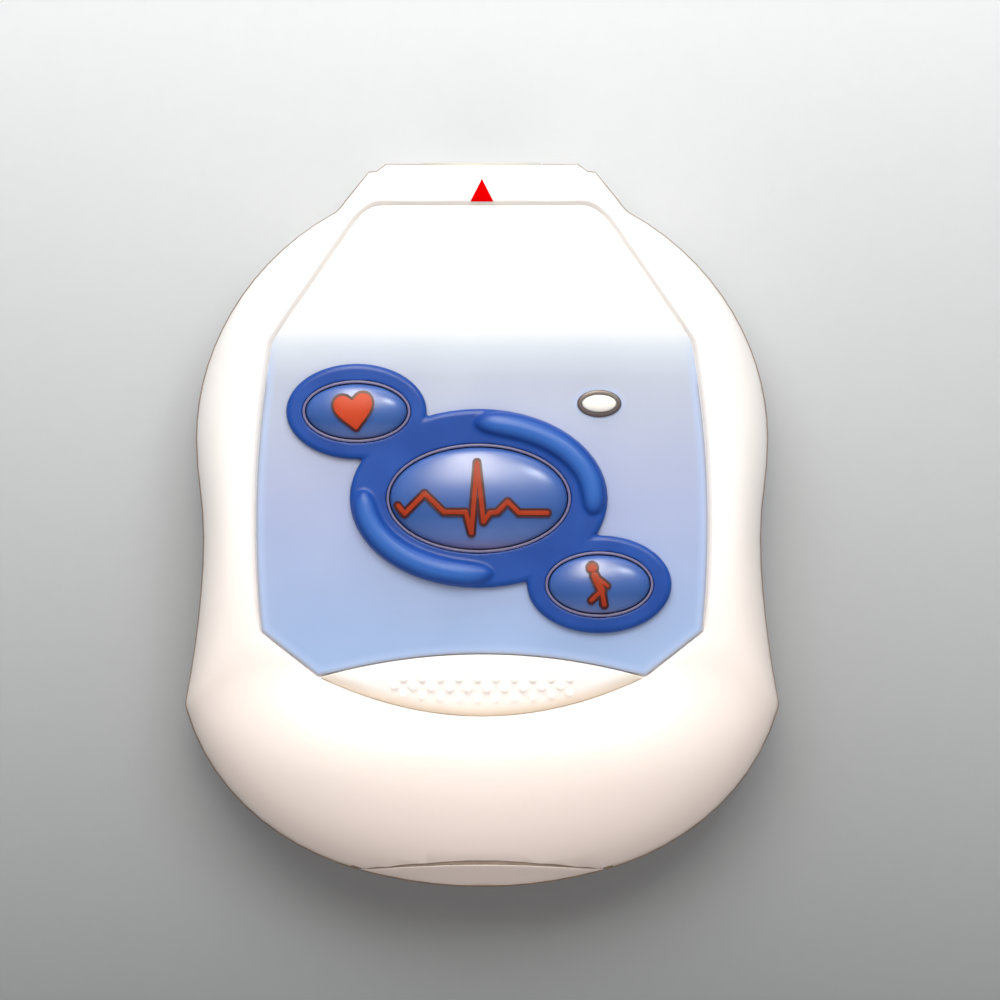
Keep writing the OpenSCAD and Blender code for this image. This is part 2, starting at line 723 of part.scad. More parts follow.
// Where the first row of grip dots lies, from the rest's upper edge to its lower one
dot_start = 0.38;
function thumb_top_y(x) = base_y + panel_arch * (1 - pow(2 * x / panel_base_w, 2)) - panel_groove;
function thumb_low_y(x) = base_y - thumb_drop * (1 - pow(2 * x / panel_base_w, 2)) + thumb_gap;
function thumb_z(x, y) =
    let (v = (thumb_top_y(x) - y) / (thumb_top_y(x) - thumb_low_y(x)))
    z_panel - thumb_dip * pow(max(v, 0), thumb_curl) * (1 - pow(2 * x / panel_base_w, 2));

module thumb_rest() color("ivory") {
    across = 24;
    down = 9;
    grid = [for (i = [0:across], j = [0:down])
        let (x = mix(-thumb_end, thumb_end, i / across)) [x, mix(thumb_low_y(x), thumb_top_y(x), j / down)]];
    n = len(grid);
    row = down + 1;
    polyhedron(
        points = concat(
            [for (p = grid) [p[0], p[1], z_thumb_floor]],
            [for (p = grid) [p[0], p[1], thumb_z(p[0], p[1])]]
        ),
        faces = concat(
            [for (i = [0:across - 1], j = [0:down - 1]) let (a = i * row + j)
                each [[a, a + row, a + 1], [a + 1, a + row, a + row + 1]]],
            [for (i = [0:across - 1], j = [0:down - 1]) let (a = n + i * row + j)
                each [[a, a + 1, a + row], [a + 1, a + row + 1, a + row]]],
            [for (i = [0:across - 1]) let (a = i * row)
                each [[a, a + n, a + row], [a + n, a + row + n, a + row]]],
            [for (i = [0:across - 1]) let (a = i * row + down)
                each [[a, a + row, a + n], [a + row, a + row + n, a + n]]],
            [for (j = [0:down - 1]) each [[j, j + 1, j + n], [j + 1, j + 1 + n, j + n]]],
            [for (j = [0:down - 1]) let (a = across * row + j)
                each [[a, a + n, a + 1], [a + 1, a + n, a + 1 + n]]]
        )
    );
    for (k = [0:2], i = [-5:4]) {
        x = dot_pitch * (i + (k == 1 ? 0.25 : 0.75));
        y = mix(thumb_top_y(x), thumb_low_y(x), dot_start + k * dot_row / (panel_arch + thumb_drop));
        if (abs(x) < panel_base_w * 0.29)
            translate([x, y, thumb_z(x, y) - 0.3]) cylinder(r = dot_r, h = 0.3 + dot_h, $fn = 24);
    }
}

// ---- Buttons ---------------------------------------------------------------

// One raised crescent on the surround of the trace button, from angle a0 to a1
module crescent(a0, a1) {
    steps = 28;
    arc = 8;
    mid = trace_surround / 2 - (crescent_w / 2 + crescent_land) * [1, 1];
    base = z_surround - 0.25;
    rings = [for (k = [0:steps])
        let (
            t = sin(mix(-90, 90, k / steps)),
            a = mix(a0, a1, (t + 1) / 2),
            taper = pow(1 - pow(abs(t) * 0.997, 8), 0.5),
            half = crescent_w / 2 * taper,
            out = [cos(a) * mid[1], sin(a) * mid[0]] / norm([cos(a) * mid[1], sin(a) * mid[0]])
        )
        [for (j = [0:arc]) let (b = 180 * j / arc)
            [mid[0] * cos(a) + out[0] * half * cos(b), mid[1] * sin(a) + out[1] * half * cos(b),
                base + (crescent_h * taper + 0.25) * sin(b)]]];
    m = arc + 1;
    polyhedron(
        points = [for (r = rings) each r],
        faces = concat(
            [for (k = [0:steps - 1], j = [0:m - 1])
                let (a = k * m + j, b = k * m + (j + 1) % m) each [[a, b, b + m], [a, b + m, a + m]]],
            [[for (j = [m - 1:-1:0]) j]],
            [[for (j = [0:m - 1]) steps * m + j]]
        )
    );
}

// Where the two crescents begin and end, in degrees round the middle button
crescent_upper = [-12, 92];
crescent_lower = [174, 277];
module button_bezel() color("royalblue") difference() {
    union() {
        at(heart_at) oval_tablet(heart_surround, z_panel, z_surround, surround_round);
        at(trace_at) oval_tablet(trace_surround, z_panel, z_surround, surround_round);
        at(figure_at) oval_tablet(figure_surround, z_panel, z_surround, surround_round);
        at(trace_at) {
            crescent(crescent_upper[0], crescent_upper[1]);
            crescent(crescent_lower[0], crescent_lower[1]);
        }
    }
    oval_hole(heart_at, heart_size, 0, z_panel - 1, z_surround + 2);
    oval_hole(trace_at, trace_size, 0, z_panel - 1, z_surround + 2);
    oval_hole(figure_at, figure_size, 0, z_panel - 1, z_surround + 2);
}

module trim(place, size) color("lightslategray") difference() {
    oval_hole(place, size, -hair, z_panel, z_surround + trim_proud);
    oval_hole(place, size, -trim_w, z_panel - 1, z_surround + 1);
}
module heart_trim() trim(heart_at, heart_size);
module trace_trim() trim(trace_at, trace_size);
module figure_trim() trim(figure_at, figure_size);

// A button: domed cap, flange that keeps it in, stem that meets the switch
key_inset = -(trim_w + key_gap);
z_cap_edge = z_surround - 0.1;
module cap_dome(size, h, lift = 0)
    oval_dome(size, key_inset, z_flange_low + 0.5, z_cap_edge + lift, h);

module button(place, size, h) color("cornflowerblue") at(place) {
    cap_dome(size, h);
    translate([0, 0, z_flange_low]) linear_extrude(key_flange_t) polygon(oval(size, key_inset + key_flange));
    translate([0, 0, z_stem_low]) cylinder(r = stem_r, h = z_flange_low - z_stem_low + 0.4);
}
module heart_button() button(heart_at, heart_size, heart_dome);
module trace_button() button(trace_at, trace_size, trace_dome);
module figure_button() button(figure_at, figure_size, figure_dome);

// A pictogram: its outline, kept to a skin over the dome
module pictogram(place, size, h) color("orangered") at(place) difference() {
    intersection() {
        translate([0, 0, z_cap_edge]) linear_extrude(h + 2 * emblem_h) children();
        cap_dome(size, h, emblem_h);
    }
    cap_dome(size, h, hair);
}

module stroke(p, q, w) {
    translate(p) circle(d = w, $fn = 24);
    translate(q) circle(d = w, $fn = 24);
    translate(p) rotate(atan2(q[1] - p[1], q[0] - p[0])) translate([0, -w / 2]) square([norm(q - p), w]);
}

module stroke_path(pts, w) for (i = [0:len(pts) - 2]) stroke(pts[i], pts[i + 1], w);

heart_turn = 8;
module heart_emblem() pictogram(heart_at, heart_size, heart_dome)
    translate([-0.3, 0]) rotate(heart_turn) polygon([for (k = [0:39]) let (t = 9 * k)
        [heart_mark[0] * 0.5 * (0.3 * sin(t) + 0.7 * pow(sin(t), 3)),
            heart_mark[1] / 28
                * (13 * cos(t) - 4.2 * cos(2 * t) - 1.6 * cos(3 * t) - 0.6 * cos(4 * t) + 2)]]);

// One heartbeat: a small wave, the sharp spike and its dip, a second small wave
beat = [[-10.0, -0.9], [-9.2, -1.9], [-6.7, 0.6], [-4.3, -1.7], [-1.6, -1.7], [-0.9, -4.3], [-0.2, 4.4],
    [0.6, -2.9], [1.4, -1.8], [2.3, -1.7], [3.6, -0.4], [5.0, -1.8], [8.5, -1.8]];
module trace_emblem() pictogram(trace_at, trace_size, trace_dome) stroke_path(beat, trace_line_w);

// A walking figure of plain strokes: head, back, arm and two legs
module figure_emblem() pictogram(figure_at, figure_size, figure_dome) scale_mark(figure_mark_h / 5.3) {
    translate([-0.9, 2.05]) circle(r = 0.55, $fn = 24);
    stroke([-0.6, 1.1], [0.25, -0.7], 0.85);
    stroke([-0.45, 1.0], [0.95, -0.15], 0.45);
    stroke([0.3, -0.8], [0.6, -2.5], 0.55);
    stroke([0.2, -0.8], [-1.0, -1.95], 0.5);
}
module scale_mark(k) scale([k, k, 1]) children();

// ---- Indicator -------------------------------------------------------------

module led_rim() color("saddlebrown") difference() {
    at(lamp_at) oval_tablet(lamp_size, z_panel, z_panel + lamp_rim_h, min(lamp_rim_h, lamp_rim_w) * 0.6);
    oval_hole(lamp_at, lamp_size, -lamp_rim_w, z_panel - 1, z_panel + 2);
}

z_emitter = z_board + 1.2;
module led_lens() color("white") at(lamp_at) {
    oval_dome(lamp_size, -lamp_rim_w - 0.05, z_flange_low + 0.5, z_panel + lamp_rim_h - 0.15, lamp_dome, 40);
    translate([0, 0, z_flange_low + 0.2]) linear_extrude(key_flange_t - 0.2)
        polygon(oval(lamp_size, -lamp_rim_w + 0.6, 40));
    translate([0, 0, z_emitter + seat]) cylinder(r = pipe_r, h = z_flange - z_emitter - seat - 0.1);
}

module led_emitter() color("gold") at(lamp_at) translate([-1.5, -0.8, z_board]) {
    cube([3, 1.6, 0.6]);
    translate([0.6, 0.1, 0.6]) cube([1.8, 1.4, z_emitter - z_board - 0.6]);
}

// ---- Board and what it carries ---------------------------------------------

board_low_y = y_low + cell_set + cell_r + 2.4;
board_end_y = electrode_lower[1] - 6;
board_top_y = y_top - socket_len - 0.2;
module circuit_board() color("darkgreen") difference() {
    translate([0, 0, z_board_low]) linear_extrude(board_t) difference() {
        intersection() {
            polygon(inset_outline(board_inset));
            translate([-hip_w, board_end_y]) square([2 * hip_w, board_top_y - board_end_y]);
        }
        translate([-tray_half_w - 2.6, y_low]) square([2 * tray_half_w + 5.2, board_low_y - y_low]);
        screw_places() circle(r = post_r + 0.4);
    }
    board_screw_places() translate([0, 0, z_board_low - 1])
        cylinder(r = board_screw_r + 0.07, h = board_t + 2);
}

// A chip with seven leads on each long side
lead_size = [0.3, 0.9, 0.3];
module chip(place, size) at(place) {
    translate([-size[0] / 2, -size[1] / 2, z_board]) cube(size);
    for (s = [-1, 1], k = [-3:3])
        translate([k * size[0] / 8, s * (size[1] + lead_size[1] / 2) / 2, z_board + lead_size[2] / 2])
            cube(lead_size, center = true);
}
signal_place = [signal_x, board_top_y - signal_set];
crystal_place = [crystal_x, board_top_y - crystal_set];
module signal_chip() color("black") chip(signal_place, signal_size);
module memory_chip() color("black") chip(trace_at - memory_at, memory_size);
module clock_crystal() color("silver") at(crystal_place) translate([0, 0, z_board])
    linear_extrude(crystal_size[2]) {
        straight = crystal_size[0] - crystal_size[1];
        translate([-straight / 2, -crystal_size[1] / 2]) square([straight, crystal_size[1]]);
        for (s = [-1, 1]) translate([s * straight / 2, 0]) circle(d = crystal_size[1]);
    }

// Rows of small parts by the chips and the middle switch: centre, direction, count
passive_rows = [
    [signal_place - [signal_size[0] / 2 + 2 * passive_pitch, 0], [0, 1], 3],
    [crystal_place + [crystal_size[0] / 2 + passive_pitch, 0], [0, 1], 2],
    [trace_at + [3 * switch_w, 0], [0, 1], 2],
    [trace_at - [3 * switch_w, 0], [0, 1], 2],
    [trace_at - [0, 2 * switch_w], [1, 0], 3]
];
module passive_parts() color("tan") for (row = passive_rows, k = [0:row[2] - 1])
    at(row[0] + (k - (row[2] - 1) / 2) * passive_pitch * row[1])
        translate([-passive_size[0] / 2, -passive_size[1] / 2, z_board]) cube(passive_size);

module beeper() color("black") at(beeper_at) translate([0, 0, z_board_low - 3.2]) difference() {
    cylinder(r = beeper_r, h = 3.2);
    translate([0, 0, -1]) cylinder(r = 1, h = 2);
}

module tact_switch(place) color("silver") at(place) difference() {
    translate([-switch_w / 2, -switch_w / 2, z_board]) cube([switch_w, switch_w, switch_h]);
    translate([0, 0, z_board + 0.4]) cylinder(r = actuator_r + seat, h = switch_h);
}
module actuator(place) color("red") at(place) {
    z_low = z_board + 0.5 + key_travel + seat;
    translate([0, 0, z_low]) cylinder(r = actuator_r, h = z_stem_low - z_low);
}
module heart_switch() tact_switch(heart_at);
module trace_switch() tact_switch(trace_at);
module figure_switch() tact_switch(figure_at);
module heart_actuator() actuator(heart_at);
module trace_actuator() actuator(trace_at);
module figure_actuator() actuator(figure_at);

// ---- Lead socket -----------------------------------------------------------

socket_back_t = 1.4;
pin_w = 0.6;
pin_t = 0.5;
function pin_x(k) = (k - (pin_count - 1) / 2) * socket_w / (pin_count + 1);
module lead_socket() color("dimgray") difference() {
    translate([-socket_w / 2 - socket_wall, y_top - socket_len, z_seam - socket_h / 2 - socket_wall])
        cube([socket_w + 2 * socket_wall, socket_len + seal_proud, socket_h + 2 * socket_wall]);
    translate([-socket_w / 2, y_top - socket_len + socket_back_t, z_seam - socket_h / 2])
        cube([socket_w, socket_len, socket_h]);
    for (k = [0:pin_count - 1])
        translate([pin_x(k) - pin_w / 2 - 0.05, y_top - socket_len - 1, z_board - 0.05])
            cube([pin_w + 0.1, socket_back_t + 2, pin_t + 0.1]);
}

module socket_pins() color("gold") for (k = [0:pin_count - 1])
    translate([pin_x(k) - pin_w / 2, y_top - socket_len - 3, z_board]) cube([pin_w, 5.4, pin_t]);

// ---- Battery drawer --------------------------------------------------------

drawer_y = y_low + drawer_front_t;
// Silhouette of the lower end at x
function low_edge(x) = y_low + belly_arc_r - sqrt(belly_arc_r * belly_arc_r - x * x);
// The drawer's face: two facets that lean back from a soft ridge
function face_y(x, z) =
    let (k = drawer_lean / drawer_front_rise * sqrt(max(0, 1 - pow(2 * x / drawer_front_w, 2))), ridge = 0.5)
    low_edge(x) + k * (sqrt(z * z + ridge * ridge) - ridge);

module drawer_front(grow = 0, set = 0) {
    n = 56;
    rings = 5;
    size = [drawer_front_w + 2 * grow, 2 * (drawer_front_rise + grow)];
    shell = [for (k = [rings:-1:1], p = oval(size * k / rings, 0, n))
        [p[0], face_y(p[0], p[1]) + set, z_seam + p[1]]];
    back = [for (p = oval(size, 0, n)) [p[0], drawer_y, z_seam + p[1]]];
    pts = concat(back, shell, [[0, face_y(0, 0) + set, z_seam]]);
    polyhedron(
        points = pts,
        faces = concat(
            [[for (i = [0:n - 1]) i]],
            [for (k = [0:rings - 1], i = [0:n - 1])
                let (a = k * n + i, b = k * n + (i + 1) % n) each [[a, b + n, b], [a, a + n, b + n]]],
            [for (i = [0:n - 1]) [rings * n + i, (rings + 1) * n, rings * n + (i + 1) % n]]
        )
    );
}

// The seal runs on across the drawer, let into its ridge, and round it behind its face
seal_deep = 0.9;
seal_lip = 0.12;
seal_inset = 0.6;
module drawer_seal() color("dimgray") {
    half = drawer_front_w / 2 - seat;
    translate([0, 0, z_rear_top]) linear_extrude(seam_gap) polygon(concat(
        [for (u = [-1:0.1:1.001]) [u * half, low_edge(u * half) - seal_proud]],
        [for (u = [1:-0.1:-1.001]) [u * half, low_edge(u * half) + seal_deep]]
    ));
    difference() {
        drawer_front(drawer_gap / 2, seal_lip);
        drawer_tunnel(-seal_inset, y_low - 1, drawer_y + 1);
        drawer_tunnel(1, drawer_y - 0.5, drawer_y + 1);
    }
}

cell_y = y_low + cell_set;
tray_end = cell_y + cell_r + 1.2;
module battery_drawer() color("whitesmoke") {
    difference() {
        drawer_front();
        drawer_seal();
    }
    difference() {
        translate([-tray_half_w, drawer_y - 0.5, z_tray])
            cube([2 * tray_half_w, tray_end - drawer_y + 0.5, tray_floor + tray_wall_h]);
        translate([0, cell_y, z_tray + tray_floor]) cylinder(r = cell_r + 0.1, h = 10);
        translate([-contact_w / 2 - 0.6, cell_y + 2, z_tray - 1])
            cube([contact_w + 1.2, 40, tray_floor + 1 + hair]);
        translate([0, cell_y - 4, z_tray - 1]) cylinder(r = 3, h = 3);
    }
}

z_cell = z_tray + tray_floor;
module coin_cell() color("silver") translate([0, cell_y, z_cell]) {
    cylinder(r = cell_r - 0.6, h = 0.6);
    translate([0, 0, 0.5]) cylinder(r = cell_r, h = cell_t - 0.5);
}

// The contacts' feet on the board, and where their leaves end over the cell
contact_y = board_low_y + 1;
leaf_y = cell_y + 5;
module battery_contact_plus() color("gold") {
    z = z_cell + cell_t + seat;
    translate([-contact_w / 2, leaf_y, z]) cube([contact_w, contact_y + contact_t - leaf_y, contact_t]);
    translate([-contact_w / 2, contact_y, z_board]) cube([contact_w, contact_t, z + contact_t - z_board]);
    translate([-contact_w / 2, contact_y, z_board]) cube([contact_w, 2.5, contact_t]);
}

module battery_contact_minus() color("gold") {
    z = z_cell - seat - contact_t;
    translate([-contact_w / 2, leaf_y, z]) cube([contact_w, contact_y + contact_t - leaf_y, contact_t]);
    translate([-contact_w / 2, contact_y, z]) cube([contact_w, contact_t, z_board_low - z]);
    translate([-contact_w / 2, contact_y, z_board_low - contact_t]) cube([contact_w, 2.5, contact_t]);
}

// ---- Electrodes and screws -------------------------------------------------

module electrode_places()
    for (e = electrode_list) translate([e[0] * e[1][0], e[1][1], 0]) children();

module electrode(k) color("silver") {
    place = electrode_list[k];
    translate([place[0] * place[1][0], place[1][1], 0]) electrode_stud();
}
module electrode_stud() {
    cylinder(r1 = electrode_r - 0.3, r2 = electrode_r, h = 0.3);
    translate([0, 0, 0.3]) cylinder(r = electrode_r, h = z_back - 0.3);
    cylinder(r = electrode_stem_r, h = z_board_low - seat);
}
module electrode_upper_left() electrode(0);
module electrode_upper_right() electrode(1);
module electrode_lower_left() electrode(2);
module electrode_lower_right() electrode(3);

module screw(head_r, shank_r, head_h, len) {
    difference() {
        cylinder(r = head_r, h = head_h);
        for (a = [0, 90]) rotate(a) translate([-0.25, -head_r * 0.7, -1])
            cube([0.5, head_r * 1.4, 1 + head_h * 0.5]);
    }
    translate([0, 0, head_h - 0.1]) cylinder(r = shank_r, h = len);
}

module case_screws() color("silver") screw_places() translate([0, 0, z_back + screw_sink - screw_head_h])
    screw(screw_head_r, screw_r, screw_head_h, z_front_low + screw_bite - z_back - screw_sink);

module board_screws() color("silver") board_screw_places()
    translate([0, 0, z_board + 1]) rotate([180, 0, 0]) screw(2.2 * board_screw_r, board_screw_r, 1, 4.5);

// ---- Draw ------------------------------------------------------------------

front_shell();
rear_cover();
case_gasket();
faceplate();
pointer_mark();
thumb_rest();
button_bezel();
heart_trim();
trace_trim();
figure_trim();
heart_button();
trace_button();
figure_button();
heart_emblem();
trace_emblem();
figure_emblem();
led_rim();
led_lens();
led_emitter();
circuit_board();
signal_chip();
memory_chip();
clock_crystal();
passive_parts();
beeper();
heart_switch();
trace_switch();
figure_switch();
heart_actuator();
trace_actuator();
figure_actuator();
lead_socket();
socket_pins();
battery_drawer();
drawer_seal();
coin_cell();
battery_contact_plus();
battery_contact_minus();
electrode_upper_left();
electrode_upper_right();
electrode_lower_left();
electrode_lower_right();
case_screws();
board_screws();
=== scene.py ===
"""Dresses the heart recorder: casings, label panel, domed buttons with their
pictograms, lamp, drawer, electrodes and socket, and sets a plain stage."""

import math

import bmesh
import bpy
from bpy.props import FloatProperty, FloatVectorProperty, PointerProperty
from bpy.types import Operator, Panel, PropertyGroup
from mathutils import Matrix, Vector


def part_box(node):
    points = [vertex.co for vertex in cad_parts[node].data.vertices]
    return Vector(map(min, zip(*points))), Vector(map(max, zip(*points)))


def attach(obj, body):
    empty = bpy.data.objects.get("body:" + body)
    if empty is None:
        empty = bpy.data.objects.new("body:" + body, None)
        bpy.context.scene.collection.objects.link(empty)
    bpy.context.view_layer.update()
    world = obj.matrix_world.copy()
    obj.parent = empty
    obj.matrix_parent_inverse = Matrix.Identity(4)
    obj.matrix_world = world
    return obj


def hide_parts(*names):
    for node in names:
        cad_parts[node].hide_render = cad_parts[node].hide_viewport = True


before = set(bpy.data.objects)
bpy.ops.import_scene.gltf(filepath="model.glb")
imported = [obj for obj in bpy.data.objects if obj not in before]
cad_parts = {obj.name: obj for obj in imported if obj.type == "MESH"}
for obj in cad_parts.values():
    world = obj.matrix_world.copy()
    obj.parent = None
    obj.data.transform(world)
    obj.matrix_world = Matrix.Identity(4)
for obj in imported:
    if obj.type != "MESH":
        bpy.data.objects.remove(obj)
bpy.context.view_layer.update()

bl_info = {
    "name": "Heart Recorder",
    "version": (1, 0, 0),
    "blender": (4, 5, 0),
    "location": "View3D > Sidebar > Recorder",
    "description": "Dresses the palm-sized heart recorder and sets its stage",
    "category": "Object",
}

MM = 0.001
KEYS = ("heart", "trace", "figure")
ELECTRODES = ("upper_left", "upper_right", "lower_left", "lower_right")

# Where the colours change along the part's length, as Y
# The casing's painted warm shade grows from the first of these down to the second
CASING_SHADE_FROM, CASING_SHADE_TO = 6 * MM, -44 * MM
PANEL_FADE_LOW, PANEL_FADE_HIGH = -20 * MM, 42 * MM
BORDER_FULL, BORDER_GONE = 17 * MM, 24 * MM
FLOOR_DARK, FLOOR_PALE = -70 * MM, 70 * MM

# The camera looks straight down at this point, and its view is this wide at FOCUS_DISTANCE
VIEW_CENTRE = (2.25 * MM, 3.19 * MM)
VIEW_WIDTH, FOCUS_DISTANCE, CAMERA_HEIGHT = 0.125, 1.0, 1.012
SENSOR_WIDTH = 36

# Lamps: name, place, what it points at, width and height, power, tint, seen in reflections
WHITE, WARM = (1, 1, 1), (1, 0.93, 0.9)
ROOM_LAMPS = (
    ("key_softbox", (0.0, 0.24, 0.34), (0, 0.03, 0), (0.42, 0.22), 1.38, WHITE, False),
    ("band_softbox", (0.02, 0.34, 0.12), (0, 0, 0.01), (0.4, 0.07), 0.5, WHITE, True),
    ("fill_softbox", (0.16, -0.26, 0.5), (0, -0.01, 0), (0.45, 0.45), 0.62, WARM, False),
    ("side_softbox", (-0.33, 0.42, 0.22), (0, 0, 0.01), (0.25, 0.25), 0.4, WHITE, False),
    ("end_softbox", (0.05, -0.4, 0.08), (0, -0.04, 0.01), (0.3, 0.06), 0.09, WARM, False),
)
# Lamps that only show as glare on the domes: name, direction, width and height, power, tint
GLARE_LAMPS = (
    ("glare_softbox", (-0.04, 0.62, 0.78), (0.115, 0.38), 3.4, (1, 0.88, 0.66)),
    ("glint_lamp", (0.374, 0.472, 0.797), (0.03, 0.05), 0.7, (0.95, 1, 1)),
)
GLARE_DISTANCE = 0.4
AIR_TINT, AIR_STRENGTH = (1, 0.94, 0.91, 1), 0.38


# ---- What a user would change -----------------------------------------------


def linear(count):
    """Linear value of a colour channel that reads as this count of 255."""
    return count / 255 / 12.92 if count < 11 else ((count / 255 + 0.055) / 1.055) ** 2.4


def colour(name, text, rgb):
    return FloatVectorProperty(
        name=name, description=text, default=[linear(c) for c in rgb],
        subtype="COLOR", size=3, min=0, max=1,
    )


def length(name, text, mm, high=5.0):
    return FloatProperty(
        name=name, description=text, default=mm * MM, min=0, max=high * MM,
        unit="LENGTH", subtype="DISTANCE",
    )


class RecorderColours(PropertyGroup):
    casing: colour("Casing", "Gloss white of both casings", (253, 249, 245))
    # Painted shade: this warm white is painted over the casing's lower end
    casing_painted_shade: colour("Casing, warm", "Warmer white of the casing's lower end", (250, 236, 227))
    grip_low: colour("Thumb rest, lower arc", "Shade along the thumb rest's lower arc", (222, 213, 200))
    # The seal is a real part, and its brown-grey is also painted shade: it stands in for the shade line along
    # the casings' edge
    seal: colour("Seal", "Brown-grey of the seal between the casings", (142, 126, 112))
    panel_top: colour("Panel, top", "Panel above its fade", (252, 252, 252))
    panel_fade: colour("Panel, fade", "Panel where its white gives way", (198, 208, 219))
    panel_mid: colour("Panel, middle", "Panel just below its fade", (177, 186, 204))
    panel_haze: colour("Panel, haze", "Lilac tinge beside the lower button", (161, 173, 209))
    panel_low: colour("Panel, bottom", "Panel at its lower edge", (150, 178, 220))
    panel_rim: colour("Panel, border", "Brighter strip along the panel's border", (172, 195, 231))
    # Painted shadow: greyer last of the panel where it meets its groove
    panel_groove_shade: colour("Panel, edge", "Greyer last of the panel at its groove", (146, 152, 168))
    bezel: colour("Surround", "Deep blue of the button surround", (34, 78, 160))
    bezel_dark: colour("Surround, dark", "Darker mottling of the surround", (30, 68, 146))
    # Painted highlight: lighter blue along the crescents' ridges
    bezel_ridge_highlight: colour("Surround, ridges", "Lighter blue worn into its crescents", (54, 102, 180))
    button: colour("Button", "Glossy blue of the domes", (62, 98, 168))
    # Painted light on the domes: painted shade low down and a painted lilac reflection along the lower edge
    button_painted_shade: colour("Button, dark", "Darker blue low in the domes", (46, 88, 156))
    button_shade: colour("Button, shade", "Softer blue over the domes' lower edge", (86, 112, 172))
    button_painted_reflection: colour("Button, lower edge", "Lilac along the lower edge of the domes", (118, 112, 158))
    trim: colour("Trim", "Pale line round each button", (106, 102, 142))
    emblem: colour("Pictogram", "Orange-red of the pictograms", (192, 68, 38))
    emblem_line: colour("Pictogram, outline", "Dark outline of the pictograms", (64, 18, 26))
    mark: colour("Pointer", "Red of the pointer mark", (214, 0, 2))
    lamp_rim: colour("Lamp rim", "Dark rim of the lamp", (80, 68, 71))
    lamp_lens: colour("Lamp lens", "Milky lens of the lamp", (255, 250, 240))
    steel: colour("Steel", "Steel of electrodes, screws and cell", (196, 198, 202))
    socket: colour("Socket", "Black of the lead socket", (44, 44, 47))
    socket_rim: colour("Socket rim", "Grey rim of the lead socket", (158, 158, 152))
    gold: colour("Gold", "Gold of the pins and the battery contacts", (226, 186, 96))
    board: colour("Board", "Green of the circuit board", (20, 92, 52))
    board_bare: colour("Board, bare", "Darker green between the tracks", (16, 78, 44))
    board_track: colour("Board, tracks", "Lighter green over the tracks", (34, 116, 64))
    package: colour("Chip", "Black of the chips and the beeper", (30, 30, 33))
    ceramic: colour("Ceramic", "Tan of the small passive parts", (176, 148, 112))
    emitter: colour("Emitter", "Yellowish emitter under the lamp's lens", (238, 226, 150))
    plunger: colour("Plunger", "Red of the switches' plungers", (150, 34, 30))
    floor: colour("Floor", "Pale backdrop paper behind the collar", (206, 210, 213))
    # Painted shade: the floor greys towards its near side where the light falls off
    floor_painted_shade: colour("Floor, near side", "Its greyer side before the drawer", (124, 128, 131))


class RecorderSizes(PropertyGroup):
    shell_edge: length("Casing edge", "Rounding of the casings' sharp edges", 0.16)
    fine_edge: length("Fine edge", "Rounding of small parts' edges", 0.08)
    panel_border: length("Panel border", "Width of the brighter strip round the panel", 1.3)
    surround_cell: length("Surround detail", "Finest detail kept in the moulded surround", 0.16)
    emblem_line: length("Outline width", "Width of the pictograms' dark outline", 0.3)
    emblem_edge: length("Pictogram edge", "Rounding of the pictograms", 0.12)
    dome_swell: length("Dome swell", "How far the domes' rims fill their running gap", 0.09, high=0.12)
    rest_reach: length("Rest reach", "How far the thumb rest closes on the panel", 0.12, high=0.15)
    rest_shade: length("Rest shade", "Width of the shade along the thumb rest's lower arc", 3.2)
    grain: length("Grain", "Size of the moulded surface's grain", 0.25)


# ---- Modelling helpers ------------------------------------------------------


def select_only(piece):
    bpy.ops.object.select_all(action="DESELECT")
    piece.select_set(True)
    bpy.context.view_layer.objects.active = piece


def merged_copy(node, name):
    """A copy of a CAD node's mesh with its loose triangles joined, as a piece of its own."""
    piece = bpy.data.objects.new(name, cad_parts[node].data.copy())
    piece.data.name = name
    piece.data.materials.clear()
    bpy.context.scene.collection.objects.link(piece)
    select_only(piece)
    bpy.ops.mesh.customdata_custom_splitnormals_clear()
    bpy.ops.object.mode_set(mode="EDIT")
    bpy.ops.mesh.select_all(action="SELECT")
    bpy.ops.mesh.remove_doubles(threshold=0.002 * MM)
    bpy.ops.mesh.tris_convert_to_quads(face_threshold=math.radians(12), shape_threshold=math.radians(60))
    bpy.ops.object.mode_set(mode="OBJECT")
    return piece


def apply_modifier(piece, kind, **settings):
    select_only(piece)
    bpy.ops.object.modifier_add(type=kind)
    modifier = piece.modifiers[-1]
    for key, value in settings.items():
        setattr(modifier, key, value)
    bpy.ops.object.modifier_apply(modifier=modifier.name)


def round_edges(piece, width, segments=2, angle=38):
    apply_modifier(
        piece, "BEVEL", width=width, segments=segments, limit_method="ANGLE",
        angle_limit=math.radians(angle), use_clamp_overlap=True,
    )


def shade(piece, angle=40):
    select_only(piece)
    bpy.ops.object.shade_smooth_by_angle(angle=math.radians(angle), keep_sharp_edges=False)


def pick(piece, test):
    """Selects, in edit mode, the faces that test(centre, normal) accepts."""
    bpy.ops.mesh.select_all(action="DESELECT")
    bpy.ops.mesh.select_mode(type="FACE")
    mesh = bmesh.from_edit_mesh(piece.data)
    for face in mesh.faces:
        face.select_set(bool(test(face.calc_center_median(), face.normal)))
    bmesh.update_edit_mesh(piece.data)


def settle(piece, body, slot, material, *nodes):
    """Gives a finished piece its material, its CAD body and the nodes it stands for."""
    piece.data.materials.clear()
    piece.data.materials.append(material)
    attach(piece, body)
    if nodes:
        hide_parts(*nodes)
    return piece


def body_of_key(key):
    return key + "_key"


# ---- Materials --------------------------------------------------------------


def shades(rgb, down, up):
    """A darker and a lighter shade of one colour."""
    return tuple(c * (1 - down) for c in rgb), tuple(min(1, c * (1 + up)) for c in rgb)


